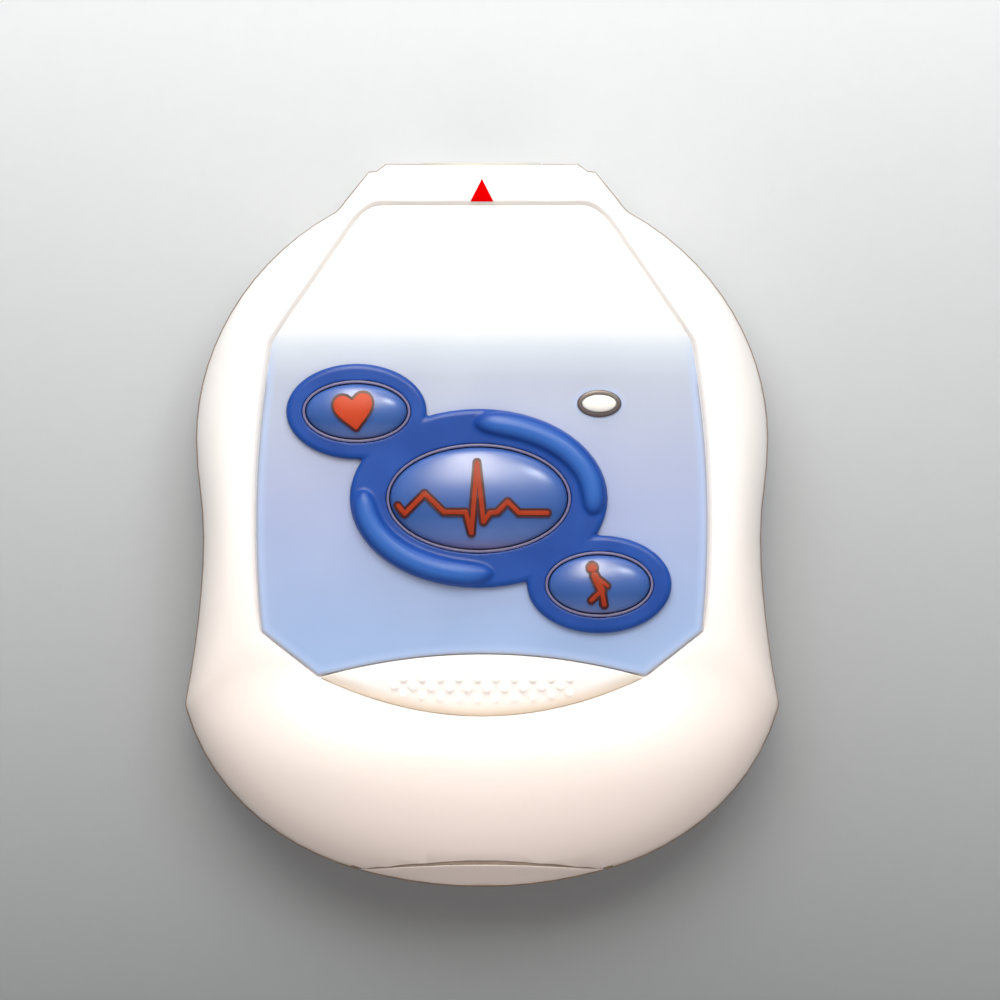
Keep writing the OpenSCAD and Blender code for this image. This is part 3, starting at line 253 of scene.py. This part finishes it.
class Finish:
    """A node material that grows step by step from one Principled shader."""

    def __init__(
        self, name, rgb, rough, metal=0.0, coat=0.0, gloss=0.5,
        centre=(0, 0, 0), stretch=(1, 1, 1),
    ):
        self.material = bpy.data.materials.new(name)
        self.material.use_nodes = True
        self.tree = self.material.node_tree
        self.shader = self.tree.nodes["Principled BSDF"]
        self.shader.inputs["Base Color"].default_value = (*rgb, 1)
        self.shader.inputs["Roughness"].default_value = rough
        self.shader.inputs["Metallic"].default_value = metal
        self.shader.inputs["Coat Weight"].default_value = coat
        self.shader.inputs["Coat Roughness"].default_value = 0.08
        self.shader.inputs["Specular IOR Level"].default_value = gloss
        place = self.tree.nodes.new("ShaderNodeTexCoord")
        mapping = self.tree.nodes.new("ShaderNodeMapping")
        mapping.inputs["Location"].default_value = [-c * s for c, s in zip(centre, stretch)]
        mapping.inputs["Scale"].default_value = stretch
        self.tree.links.new(place.outputs["Object"], mapping.inputs["Vector"])
        self.place = mapping.outputs["Vector"]

    def noise(self, size, detail=3.0, rough=0.55):
        node = self.tree.nodes.new("ShaderNodeTexNoise")
        node.inputs["Scale"].default_value = 1 / size
        node.inputs["Detail"].default_value = detail
        node.inputs["Roughness"].default_value = rough
        self.tree.links.new(self.place, node.inputs["Vector"])
        return node.outputs["Fac"]

    def rings(self, size, distortion=0.0):
        node = self.tree.nodes.new("ShaderNodeTexWave")
        node.wave_type, node.rings_direction = "RINGS", "Z"
        node.inputs["Scale"].default_value = 1 / size
        node.inputs["Distortion"].default_value = distortion
        self.tree.links.new(self.place, node.inputs["Vector"])
        return node.outputs["Fac"]

    def along(self, axis, low, high):
        """0 at low and 1 at high along one axis of the part, in metres."""
        split = self.tree.nodes.new("ShaderNodeSeparateXYZ")
        self.tree.links.new(self.place, split.inputs["Vector"])
        return self.span(split.outputs[axis], low, high, 0, 1)

    def reach(self):
        """Distance from the finish's own centre, as stretched."""
        node = self.tree.nodes.new("ShaderNodeVectorMath")
        node.operation = "LENGTH"
        self.tree.links.new(self.place, node.inputs[0])
        return node.outputs["Value"]

    def span(self, value, low, high, to_low, to_high):
        node = self.tree.nodes.new("ShaderNodeMapRange")
        for key, number in (("From Min", low), ("From Max", high), ("To Min", to_low), ("To Max", to_high)):
            node.inputs[key].default_value = number
        self.tree.links.new(value, node.inputs["Value"])
        return node.outputs["Result"]

    def attribute(self, name):
        node = self.tree.nodes.new("ShaderNodeAttribute")
        node.attribute_name = name
        return node.outputs["Fac"]

    def ramp(self, value, stops, soft=False):
        node = self.tree.nodes.new("ShaderNodeValToRGB")
        node.color_ramp.interpolation = "EASE" if soft else "LINEAR"
        marks = node.color_ramp.elements
        while len(marks) < len(stops):
            marks.new(0.5)
        for mark, (at, rgb) in zip(marks, stops):
            mark.position, mark.color = at, (*rgb, 1)
        self.tree.links.new(value, node.inputs["Fac"])
        return node.outputs["Color"]

    def mix(self, factor, a, b, mode="MIX"):
        node = self.tree.nodes.new("ShaderNodeMix")
        node.data_type, node.blend_type = "RGBA", mode
        for socket, item in ((node.inputs[0], factor), (node.inputs[6], a), (node.inputs[7], b)):
            if isinstance(item, bpy.types.NodeSocket):
                self.tree.links.new(item, socket)
            elif isinstance(item, tuple):
                socket.default_value = (*item, 1)
            else:
                socket.default_value = item
        return node.outputs[2]

    def paint(self, colour_socket):
        self.tree.links.new(colour_socket, self.shader.inputs["Base Color"])
        return self

    def polish(self, value, low, high):
        self.tree.links.new(self.span(value, 0.15, 0.85, low, high), self.shader.inputs["Roughness"])
        return self

    def bump(self, value, strength, depth):
        node = self.tree.nodes.new("ShaderNodeBump")
        node.inputs["Strength"].default_value = strength
        node.inputs["Distance"].default_value = depth
        self.tree.links.new(value, node.inputs["Height"])
        if self.shader.inputs["Normal"].is_linked:
            self.tree.links.new(self.shader.inputs["Normal"].links[0].from_socket, node.inputs["Normal"])
        self.tree.links.new(node.outputs["Normal"], self.shader.inputs["Normal"])
        return self


def moulded(name, rgb, rough=0.3, coat=0.15, mottle=0.03, gloss=0.5, strength=0.25):
    """Injection-moulded plastic: faint mottling, uneven gloss, fine grain."""
    grain, depth = 0.25 * MM, 0.006 * MM
    made = Finish(name, rgb, rough, coat=coat, gloss=gloss)
    low, high = shades(rgb, mottle, mottle * 0.6)
    made.paint(made.ramp(made.noise(14 * MM), [(0.3, low), (0.7, high)]))
    made.polish(made.noise(5 * MM), rough - 0.05, rough + 0.07)
    made.bump(made.noise(grain, 2.0), strength, depth)
    return made


def brushed(name, rgb, rough=0.28, stretch=(1, 30, 1)):
    """Steel drawn along Y: long fine scratches."""
    made = Finish(name, rgb, rough, metal=1.0, stretch=stretch)
    low, high = shades(rgb, 0.18, 0.1)
    made.paint(made.ramp(made.noise(1.2 * MM, 6.0), [(0.3, low), (0.7, high)]))
    made.polish(made.noise(0.8 * MM, 5.0), rough, rough + 0.16)
    made.bump(made.noise(0.5 * MM, 6.0), 0.3, 0.004 * MM)
    return made


def turned(name, rgb, centre, rough=0.32):
    """Steel faced on a lathe: fine rings about its own centre, a few stains."""
    made = Finish(name, rgb, rough, metal=1.0, centre=centre)
    low, high = shades(rgb, 0.12, 0.08)
    faced = made.ramp(made.rings(0.35 * MM, 0.4), [(0.2, low), (0.8, high)])
    made.paint(made.mix(made.noise(3 * MM), faced, low))
    made.polish(made.noise(1.6 * MM), rough - 0.03, rough + 0.1)
    made.bump(made.rings(0.3 * MM, 0.3), 0.25, 0.004 * MM)
    return made


def casing_finish(name, colours, sizes, rough=0.3, coat=0.2, gloss=0.5):
    """Gloss white plastic with painted warm shade towards its lower end, uneven gloss and the finest grain."""
    made = Finish(name, tuple(colours.casing), rough, coat=coat, gloss=gloss)
    low, high = shades(tuple(colours.casing), 0.02, 0.0)
    body = made.ramp(made.noise(26 * MM, 1.0), [(0.1, low), (0.9, high)], soft=True)
    # Painted shade: warm white painted in towards the lower end
    painted_shade = made.ramp(
        made.along("Y", CASING_SHADE_TO, CASING_SHADE_FROM),
        [(0.0, (1, 1, 1)), (0.5, (0.7,) * 3), (1.0, (0, 0, 0))],
    )
    made.paint(made.mix(painted_shade, body, tuple(colours.casing_painted_shade)))
    made.polish(made.noise(9 * MM, 1.0), rough - 0.03, rough + 0.06)
    made.bump(made.noise(sizes.grain, 1.0), 0.1, 0.003 * MM)
    return made


def grip_finish(name, colours, sizes):
    """The thumb rest: casing white, shaded along its lower arc, with a satin skin."""
    low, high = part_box("thumb_rest")
    upper_rise = 2.4 * MM
    sagitta, half = high.y - low.y - upper_rise, (high.x - low.x) / 2
    radius = (half * half / sagitta + sagitta) / 2
    centre = (0, low.y + radius, 0)
    made = Finish(name, tuple(colours.casing), 0.42, gloss=0.1, centre=centre, stretch=(1, 1, 0))
    shade = made.ramp(
        made.span(made.reach(), radius - sizes.rest_shade, radius, 0, 1),
        [(0.45, tuple(colours.casing)), (1.0, tuple(colours.grip_low))],
        soft=True,
    )
    cloud = made.ramp(made.noise(3 * MM, 2.0), [(0.2, (0.97,) * 3), (0.8, (1, 1, 1))])
    made.paint(made.mix(1.0, shade, cloud, "MULTIPLY"))
    made.polish(made.noise(4 * MM, 1.0), 0.38, 0.48)
    made.bump(made.noise(sizes.grain, 1.0), 0.15, 0.004 * MM)
    return made


def seal_finish(name, rgb):
    """Soft rubber: dull, a little dusty, with a fine skin."""
    made = Finish(name, rgb, 0.7, gloss=0.3)
    low, high = shades(rgb, 0.2, 0.12)
    made.paint(made.ramp(made.noise(2.4 * MM, 5.0), [(0.3, low), (0.7, high)]))
    made.polish(made.noise(1.2 * MM), 0.62, 0.8)
    made.bump(made.noise(0.12 * MM, 3.0), 0.5, 0.008 * MM)
    return made


def panel_finish(name, colours):
    """Printed foil: white at the top, fading to blue, a brighter border with painted shade at its groove, a
    fine screen of ink.
    """
    made = Finish(name, tuple(colours.panel_mid), 0.32, coat=0.2)
    fade = made.ramp(
        made.along("Y", PANEL_FADE_LOW, PANEL_FADE_HIGH),
        [
            (0.05, tuple(colours.panel_low)),
            (0.37, tuple(colours.panel_haze)),
            (0.62, tuple(colours.panel_mid)),
            (0.68, tuple(colours.panel_fade)),
            (0.76, tuple(colours.panel_top)),
        ],
    )
    below = made.along("Y", BORDER_GONE, BORDER_FULL)
    border = made.mix(made.attribute("border"), (0, 0, 0), below)
    # The border's outer end greys into painted shadow at the groove
    rim = made.ramp(border, [(0.62, tuple(colours.panel_rim)), (1.0, tuple(colours.panel_groove_shade))])
    strip = made.mix(border, fade, rim)
    haze = [(0.1, (0.95, 0.95, 0.96)), (0.9, (1, 1, 1))]
    cloud = made.ramp(made.noise(10 * MM, 2.0), haze, soft=True)
    made.paint(made.mix(1.0, strip, cloud, "MULTIPLY"))
    made.polish(made.noise(6 * MM, 1.0), 0.28, 0.4)
    made.bump(made.noise(0.18 * MM, 1.0), 0.2, 0.004 * MM)
    return made


def button_finish(name, colours, centre, half):
    """Glossy dome with painted light: a painted lilac reflection along its lower edge, painted shade low down,
    brighter blue above.
    """
    made = Finish(name, tuple(colours.button), 0.3)
    # Painted light: the domes' reflection, shade and lighter top are painted along Y
    painted_light = made.along("Y", centre[1] - half, centre[1] + half)
    body = made.ramp(
        painted_light,
        [
            (0.06, tuple(colours.button_painted_reflection)),
            (0.16, tuple(colours.button_shade)),
            (0.36, tuple(colours.button_painted_shade)),
            (0.66, tuple(colours.button)),
        ],
    )
    depth = [(0.1, (0.84, 0.88, 0.93)), (0.9, (1, 1, 1))]
    cloud = made.ramp(made.noise(4 * MM, 2.0), depth, soft=True)
    made.paint(made.mix(1.0, body, cloud, "MULTIPLY"))
    made.polish(made.noise(3 * MM, 1.0), 0.27, 0.34)
    made.bump(made.noise(0.6 * MM, 2.0), 0.08, 0.003 * MM)
    return made


def bezel_finish(name, colours):
    """Deep blue moulded plastic with a low sheen, darker in places, with a painted highlight on its ridges."""
    made = Finish(name, tuple(colours.bezel), 0.32, gloss=0.13)
    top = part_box("button_bezel")[1].z
    mottling = [(0.2, tuple(colours.bezel_dark)), (0.8, tuple(colours.bezel))]
    body = made.ramp(made.noise(5 * MM, 3.0), mottling, soft=True)
    # Painted highlight on the top of the crescents
    ridge_highlight = made.along("Z", top - 0.5 * MM, top - 0.05 * MM)
    made.paint(made.mix(ridge_highlight, body, tuple(colours.bezel_ridge_highlight)))
    made.polish(made.noise(5 * MM, 1.0), 0.28, 0.38)
    made.bump(made.noise(0.22 * MM, 2.0), 0.2, 0.005 * MM)
    return made


# ---- Operators: one per piece or group of like pieces ------------------------


class RECORDER_OT_casings(Operator):
    """Front and rear casings with softened edges in gloss white plastic"""

    bl_idname = "recorder.casings"
    bl_label = "Casings"

    def execute(self, context):
        colours, sizes = context.scene.recorder_colours, context.scene.recorder_sizes
        shells = (("front_shell", "casing_white", 0.3), ("rear_cover", "cover_white", 0.38))
        for node, slot, rough in shells:
            piece = merged_copy(node, node + "_moulded")
            round_edges(piece, sizes.shell_edge)
            shade(piece, 35)
            white = casing_finish(slot, colours, sizes, rough)
            settle(piece, "casing", slot, white.material, node)
        return {"FINISHED"}


class RECORDER_OT_panel(Operator):
    """Label panel: printed foil with a brighter border and painted shade at its groove"""

    bl_idname = "recorder.panel"
    bl_label = "Label panel"

    def execute(self, context):
        colours, sizes = context.scene.recorder_colours, context.scene.recorder_sizes
        piece = merged_copy("faceplate", "label_foil")
        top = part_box("faceplate")[1].z
        bpy.ops.object.mode_set(mode="EDIT")
        pick(piece, lambda centre, normal: normal.z > 0.9)
        bpy.ops.mesh.inset(thickness=sizes.panel_border, depth=0, use_boundary=True)
        bpy.ops.object.mode_set(mode="OBJECT")
        border = piece.data.attributes.new("border", "FLOAT", "POINT")
        outer = {v for face in piece.data.polygons if face.normal.z < 0.5 for v in face.vertices}
        for vertex in piece.data.vertices:
            on_edge = vertex.index in outer and vertex.co.z > top - 0.1 * MM
            border.data[vertex.index].value = 1.0 if on_edge else 0.0
        shade(piece, 30)
        foil = panel_finish("printed_foil", colours)
        settle(piece, "casing", "label_panel", foil.material, "faceplate")
        return {"FINISHED"}


class RECORDER_OT_pointer(Operator):
    """Red pointer mark with softened edges"""

    bl_idname = "recorder.pointer"
    bl_label = "Pointer mark"

    def execute(self, context):
        colours, sizes = context.scene.recorder_colours, context.scene.recorder_sizes
        piece = merged_copy("pointer_mark", "pointer_tile")
        round_edges(piece, sizes.fine_edge)
        shade(piece)
        paint = moulded("pointer_red", tuple(colours.mark), rough=0.5, coat=0.0, mottle=0.08, gloss=0.0)
        settle(piece, "casing", "mark_red", paint.material, "pointer_mark")
        return {"FINISHED"}


class RECORDER_OT_thumb_rest(Operator):
    """Dished thumb rest with its rows of rounded grip dots"""

    bl_idname = "recorder.thumb_rest"
    bl_label = "Thumb rest"

    def execute(self, context):
        colours, sizes = context.scene.recorder_colours, context.scene.recorder_sizes
        piece = merged_copy("thumb_rest", "thumb_grip")
        bpy.ops.object.mode_set(mode="EDIT")
        panel_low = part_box("faceplate")[0].z
        pick(piece, lambda centre, normal: normal.y > 0.5 and abs(normal.z) < 0.05 and centre.z < panel_low)
        bpy.ops.transform.translate(value=(0, sizes.rest_reach, 0))
        bpy.ops.object.mode_set(mode="OBJECT")
        round_edges(piece, sizes.fine_edge, segments=3)
        shade(piece, 42)
        grip = grip_finish("grip_white", colours, sizes)
        settle(piece, "casing", "grip_white", grip.material, "thumb_rest")
        return {"FINISHED"}


class RECORDER_OT_surround(Operator):
    """Button surround: three rings and two crescents moulded into one, with soft fillets"""

    bl_idname = "recorder.surround"
    bl_label = "Button surround"

    def execute(self, context):
        colours, sizes = context.scene.recorder_colours, context.scene.recorder_sizes
        piece = merged_copy("button_bezel", "surround_moulded")
        apply_modifier(piece, "REMESH", mode="VOXEL", voxel_size=sizes.surround_cell)
        apply_modifier(piece, "SMOOTH", factor=0.5, iterations=6)
        shade(piece, 50)
        blue = bezel_finish("surround_blue", colours)
        settle(piece, "casing", "bezel_blue", blue.material, "button_bezel")
        return {"FINISHED"}


class RECORDER_OT_trims(Operator):
    """The thin pale line round each button"""

    bl_idname = "recorder.trims"
    bl_label = "Trim rings"

    def execute(self, context):
        colours, sizes = context.scene.recorder_colours, context.scene.recorder_sizes
        paint = moulded("trim_lilac", tuple(colours.trim), rough=0.4, coat=0.0, mottle=0.06, gloss=0.25)
        for key in KEYS:
            piece = merged_copy(key + "_trim", key + "_trim_ring")
            round_edges(piece, sizes.fine_edge)
            shade(piece)
            settle(piece, "casing", "trim_lilac", paint.material, key + "_trim")
        return {"FINISHED"}


class RECORDER_OT_buttons(Operator):
    """Three domed buttons, smoothed from their solids"""

    bl_idname = "recorder.buttons"
    bl_label = "Buttons"

    def execute(self, context):
        colours, sizes = context.scene.recorder_colours, context.scene.recorder_sizes
        shoulder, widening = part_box("button_bezel")[0].z + 0.75 * MM, 0.3 * MM
        for key in KEYS:
            node = key + "_button"
            low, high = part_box(node)
            piece = merged_copy(node, key + "_dome")
            bpy.ops.object.mode_set(mode="EDIT")
            bpy.ops.mesh.select_all(action="SELECT")
            bpy.ops.mesh.bisect(plane_co=(0, 0, shoulder), plane_no=(0, 0, 1))
            bpy.ops.object.mode_set(mode="OBJECT")
            apply_modifier(piece, "SUBSURF", levels=2, render_levels=2)
            centre = (low + high) / 2
            for vertex in piece.data.vertices:
                swell = sizes.dome_swell * min(1, max(0, (vertex.co.z - shoulder) / widening + 1))
                vertex.co.x += swell * (vertex.co.x - centre.x) / (high.x - low.x) * 2
                vertex.co.y += swell * (vertex.co.y - centre.y) / (high.y - low.y) * 2
            shade(piece, 60)
            blue = button_finish(key + "_blue", colours, centre, (high.y - low.y) / 2)
            settle(piece, body_of_key(key), "button_blue", blue.material, node)
        return {"FINISHED"}


class RECORDER_OT_pictograms(Operator):
    """Raised pictograms, each with a dark outline that stands a little lower"""

    bl_idname = "recorder.pictograms"
    bl_label = "Pictograms"

    def execute(self, context):
        colours, sizes = context.scene.recorder_colours, context.scene.recorder_sizes
        matt = {"rough": 0.4, "coat": 0.0}
        deeper = tuple(c * 0.74 for c in colours.emblem)
        orange = moulded("pictogram_orange", tuple(colours.emblem), mottle=0.14, gloss=0.1, **matt)
        rust = moulded("pictogram_rust", deeper, mottle=0.2, gloss=0.1, **matt)
        dark = moulded("pictogram_outline", tuple(colours.emblem_line), mottle=0.2, gloss=0.3, **matt)
        for key in KEYS:
            line = merged_copy(key + "_emblem", key + "_outline")
            heights = [vertex.co.z for vertex in line.data.vertices]
            bpy.ops.object.mode_set(mode="EDIT")
            bpy.ops.mesh.select_all(action="SELECT")
            bpy.ops.transform.shrink_fatten(value=sizes.emblem_line * math.sqrt(2))
            bpy.ops.object.mode_set(mode="OBJECT")
            for vertex, height in zip(line.data.vertices, heights):
                vertex.co.z = height - sizes.emblem_edge
            shade(line, 35)
            settle(line, body_of_key(key), "rim_brown", dark.material)
            fill = merged_copy(key + "_emblem", key + "_pictogram")
            round_edges(fill, sizes.emblem_edge, segments=3)
            shade(fill, 35)
            ink = orange if key == "heart" else rust
            settle(fill, body_of_key(key), "emblem_orange", ink.material, key + "_emblem")
        return {"FINISHED"}


class RECORDER_OT_lamp(Operator):
    """Indicator lamp: dark rim, milky lens and the emitter under it"""

    bl_idname = "recorder.lamp"
    bl_label = "Lamp"

    def execute(self, context):
        colours = context.scene.recorder_colours
        rim = merged_copy("led_rim", "lamp_rim")
        shade(rim, 50)
        brown = moulded("lamp_rim_brown", tuple(colours.lamp_rim), rough=0.35, coat=0.2, mottle=0.15)
        settle(rim, "casing", "rim_brown", brown.material, "led_rim")
        lens = merged_copy("led_lens", "lamp_lens")
        shade(lens, 50)
        milk = moulded("lamp_milk", tuple(colours.lamp_lens), rough=0.32, coat=0.6, mottle=0.04)
        milk.shader.inputs["Subsurface Weight"].default_value = 0.3
        milk.shader.inputs["Subsurface Radius"].default_value = (1, 0.9, 0.8)
        milk.shader.inputs["Subsurface Scale"].default_value = 0.4 * MM
        settle(lens, "casing", "lens_white", milk.material, "led_lens")
        return {"FINISHED"}


class RECORDER_OT_drawer(Operator):
    """Battery drawer and the coin cell that lies in it"""

    bl_idname = "recorder.drawer"
    bl_label = "Drawer and cell"

    def execute(self, context):
        colours, sizes = context.scene.recorder_colours, context.scene.recorder_sizes
        piece = merged_copy("battery_drawer", "drawer_moulded")
        round_edges(piece, sizes.shell_edge * 0.8)
        shade(piece, 32)
        white = casing_finish("drawer_white", colours, sizes)
        settle(piece, "drawer", "casing_white", white.material, "battery_drawer")
        cell = merged_copy("coin_cell", "cell_can")
        round_edges(cell, 0.35 * MM, segments=4, angle=60)
        shade(cell, 35)
        low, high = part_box("coin_cell")
        can = turned("cell_steel", tuple(colours.steel), (low + high) / 2)
        settle(cell, "drawer", "steel", can.material, "coin_cell")
        return {"FINISHED"}


class RECORDER_OT_electrodes(Operator):
    """Four polished contact electrodes on the back"""

    bl_idname = "recorder.electrodes"
    bl_label = "Electrodes"

    def execute(self, context):
        colours, sizes = context.scene.recorder_colours, context.scene.recorder_sizes
        for place in ELECTRODES:
            node = "electrode_" + place
            low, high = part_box(node)
            piece = merged_copy(node, "contact_" + place)
            round_edges(piece, sizes.fine_edge, angle=25)
            shade(piece, 35)
            steel = turned("electrode_steel_" + place, tuple(colours.steel), (low + high) / 2, 0.3)
            settle(piece, "casing", "electrode_steel", steel.material, node)
        return {"FINISHED"}


class RECORDER_OT_fasteners(Operator):
    """Cross-recess screws in the back and on the board"""

    bl_idname = "recorder.fasteners"
    bl_label = "Screws"

    def execute(self, context):
        colours, sizes = context.scene.recorder_colours, context.scene.recorder_sizes
        steel = brushed("screw_steel", tuple(colours.steel), 0.3, (1, 4, 1))
        for node, name in (("case_screws", "case_screws_set"), ("board_screws", "board_screws_set")):
            piece = merged_copy(node, name)
            round_edges(piece, sizes.fine_edge)
            shade(piece, 35)
            settle(piece, "casing", "steel", steel.material, node)
        return {"FINISHED"}


class RECORDER_OT_socket(Operator):
    """Lead socket in the collar with its row of gold pins"""

    bl_idname = "recorder.socket"
    bl_label = "Lead socket"

    def execute(self, context):
        colours, sizes = context.scene.recorder_colours, context.scene.recorder_sizes
        dark = tuple(colours.socket)
        black = moulded("socket_black", dark, rough=0.42, coat=0.0, mottle=0.12, strength=0.4)
        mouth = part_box("lead_socket")[1].y
        plain = black.shader.inputs["Base Color"].links[0].from_socket
        rim = black.along("Y", mouth - 0.9 * MM, mouth - 0.6 * MM)
        black.paint(black.mix(rim, plain, tuple(colours.socket_rim)))
        gold = brushed("contact_gold", tuple(colours.gold), 0.28, (1, 12, 1))
        block = merged_copy("lead_socket", "socket_block")
        round_edges(block, sizes.fine_edge * 1.5)
        shade(block, 35)
        settle(block, "casing", "socket_dark", black.material, "lead_socket")
        pins = merged_copy("socket_pins", "socket_contacts")
        round_edges(pins, sizes.fine_edge)
        shade(pins, 35)
        settle(pins, "casing", "contact_gold", gold.material, "socket_pins")
        return {"FINISHED"}


class RECORDER_OT_inside(Operator):
    """Finishes for what lies inside: seal, board, chips, switches and battery contacts"""

    bl_idname = "recorder.inside"
    bl_label = "Inside parts"

    def execute(self, context):
        colours = context.scene.recorder_colours
        board = Finish("board_green", tuple(colours.board), 0.35, coat=0.3)
        traces = board.noise(2.0 * MM, 6.0, 0.7)
        board.paint(board.ramp(traces, [(0.48, tuple(colours.board_bare)), (0.52, tuple(colours.board_track))]))
        board.polish(board.noise(3 * MM), 0.3, 0.45).bump(traces, 0.3, 0.02 * MM)
        steel = brushed("part_steel", tuple(colours.steel), 0.34)
        gold = brushed("leaf_gold", tuple(colours.gold), 0.28)
        dark = tuple(colours.package)
        black = moulded("package_black", dark, rough=0.5, coat=0.0, mottle=0.2, strength=0.5)
        # Partly painted shade: the seal's brown-grey also stands for the shade line at the casings' edge
        rubber = seal_finish("seal_rubber", tuple(colours.seal))
        tan = moulded("ceramic_tan", tuple(colours.ceramic), rough=0.5, coat=0.0, mottle=0.3)
        yellow = moulded("emitter_yellow", tuple(colours.emitter), rough=0.3, mottle=0.1)
        red = moulded("plunger_red", tuple(colours.plunger), rough=0.4, mottle=0.1)
        finishes = {
            board: ("circuit_board",),
            steel: ("clock_crystal", "heart_switch", "trace_switch", "figure_switch"),
            gold: ("battery_contact_plus", "battery_contact_minus"),
            black: ("signal_chip", "memory_chip", "beeper"),
            rubber: ("case_gasket", "drawer_seal"),
            tan: ("passive_parts",),
            yellow: ("led_emitter",),
            red: tuple(key + "_actuator" for key in KEYS),
        }
        for made, nodes in finishes.items():
            for node in nodes:
                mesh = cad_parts[node].data
                mesh.materials.clear()
                mesh.materials.append(made.material)
        return {"FINISHED"}


def softbox(name, place, target, size, power, tint, mirrored, lit=True):
    """A studio softbox, which may be left out of the reflections or show in them alone."""
    bpy.ops.object.light_add(type="AREA", location=place)
    lamp = bpy.context.object
    lamp.name = name
    lamp.data.shape = "RECTANGLE"
    lamp.data.size, lamp.data.size_y = size
    lamp.data.energy = power
    lamp.data.color = tint
    lamp.visible_glossy, lamp.visible_diffuse = mirrored, lit
    lamp.rotation_euler = (Vector(target) - Vector(place)).to_track_quat("-Z", "Y").to_euler()
    return lamp


class RECORDER_OT_stage(Operator):
    """Pale floor with painted shade towards its near side, soft studio light and a camera that looks straight
    down
    """

    bl_idname = "recorder.stage"
    bl_label = "Stage"

    def execute(self, context):
        scene = context.scene
        colours = scene.recorder_colours
        bpy.ops.mesh.primitive_grid_add(size=6, x_subdivisions=8, y_subdivisions=8, location=(0, 0, -0.02 * MM))
        floor = context.object
        floor.name = "studio_floor"
        sheet = Finish("backdrop_paper", tuple(colours.floor), 0.7)
        # Painted shade across the floor, darker towards its near side
        painted_light = sheet.along("Y", FLOOR_DARK, FLOOR_PALE)
        grey = sheet.ramp(painted_light, [(0.0, tuple(colours.floor_painted_shade)), (1.0, tuple(colours.floor))])
        fibre = sheet.ramp(sheet.noise(3 * MM, 6.0), [(0.3, (0.985,) * 3), (0.7, (1, 1, 1))])
        sheet.paint(sheet.mix(1.0, grey, fibre, "MULTIPLY"))
        sheet.bump(sheet.noise(1 * MM, 4.0), 0.1, 0.01 * MM)
        floor.data.materials.append(sheet.material)

        world = bpy.data.worlds.new("studio_air")
        world.use_nodes = True
        air = world.node_tree.nodes["Background"]
        air.inputs["Color"].default_value = AIR_TINT
        air.inputs["Strength"].default_value = AIR_STRENGTH
        scene.world = world
        for lamp in ROOM_LAMPS:
            softbox(*lamp)
        low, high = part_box("trace_button")
        aim = (low + high) / 2
        for name, direction, size, power, tint in GLARE_LAMPS:
            place = aim + Vector(direction) * GLARE_DISTANCE
            softbox(name, place, aim, size, power, tint, mirrored=True, lit=False)

        bpy.ops.object.camera_add(location=(*VIEW_CENTRE, CAMERA_HEIGHT), rotation=(0, 0, 0))
        camera = context.object
        camera.name = "photo_camera"
        camera.data.sensor_width = SENSOR_WIDTH
        camera.data.lens = SENSOR_WIDTH * FOCUS_DISTANCE / VIEW_WIDTH
        camera.data.clip_start, camera.data.clip_end = 0.01, 20
        scene.camera = camera
        scene.view_settings.view_transform = "Standard"
        return {"FINISHED"}


OPERATORS = (
    RECORDER_OT_casings,
    RECORDER_OT_panel,
    RECORDER_OT_pointer,
    RECORDER_OT_thumb_rest,
    RECORDER_OT_surround,
    RECORDER_OT_trims,
    RECORDER_OT_buttons,
    RECORDER_OT_pictograms,
    RECORDER_OT_lamp,
    RECORDER_OT_drawer,
    RECORDER_OT_electrodes,
    RECORDER_OT_fasteners,
    RECORDER_OT_socket,
    RECORDER_OT_inside,
    RECORDER_OT_stage,
)


class RECORDER_PT_pieces(Panel):
    """Lists the recorder's pieces in the sidebar"""

    bl_idname = "RECORDER_PT_pieces"
    bl_label = "Heart Recorder"
    bl_space_type = "VIEW_3D"
    bl_region_type = "UI"
    bl_category = "Recorder"

    def draw(self, context):
        for operator in OPERATORS:
            self.layout.operator(operator.bl_idname)
        for group in (context.scene.recorder_colours, context.scene.recorder_sizes):
            for key in group.__annotations__:
                self.layout.prop(group, key)


CLASSES = (RecorderColours, RecorderSizes, *OPERATORS, RECORDER_PT_pieces)


def register():
    for item in CLASSES:
        bpy.utils.register_class(item)
    bpy.types.Scene.recorder_colours = PointerProperty(type=RecorderColours)
    bpy.types.Scene.recorder_sizes = PointerProperty(type=RecorderSizes)


def unregister():
    del bpy.types.Scene.recorder_sizes
    del bpy.types.Scene.recorder_colours
    for item in reversed(CLASSES):
        bpy.utils.unregister_class(item)


def main():
    register()
    for operator in OPERATORS:
        group, name = operator.bl_idname.split(".")
        if getattr(getattr(bpy.ops, group), name)() != {"FINISHED"}:
            raise RuntimeError(operator.bl_idname + " did not finish")


if __name__ == "__main__":
    main()
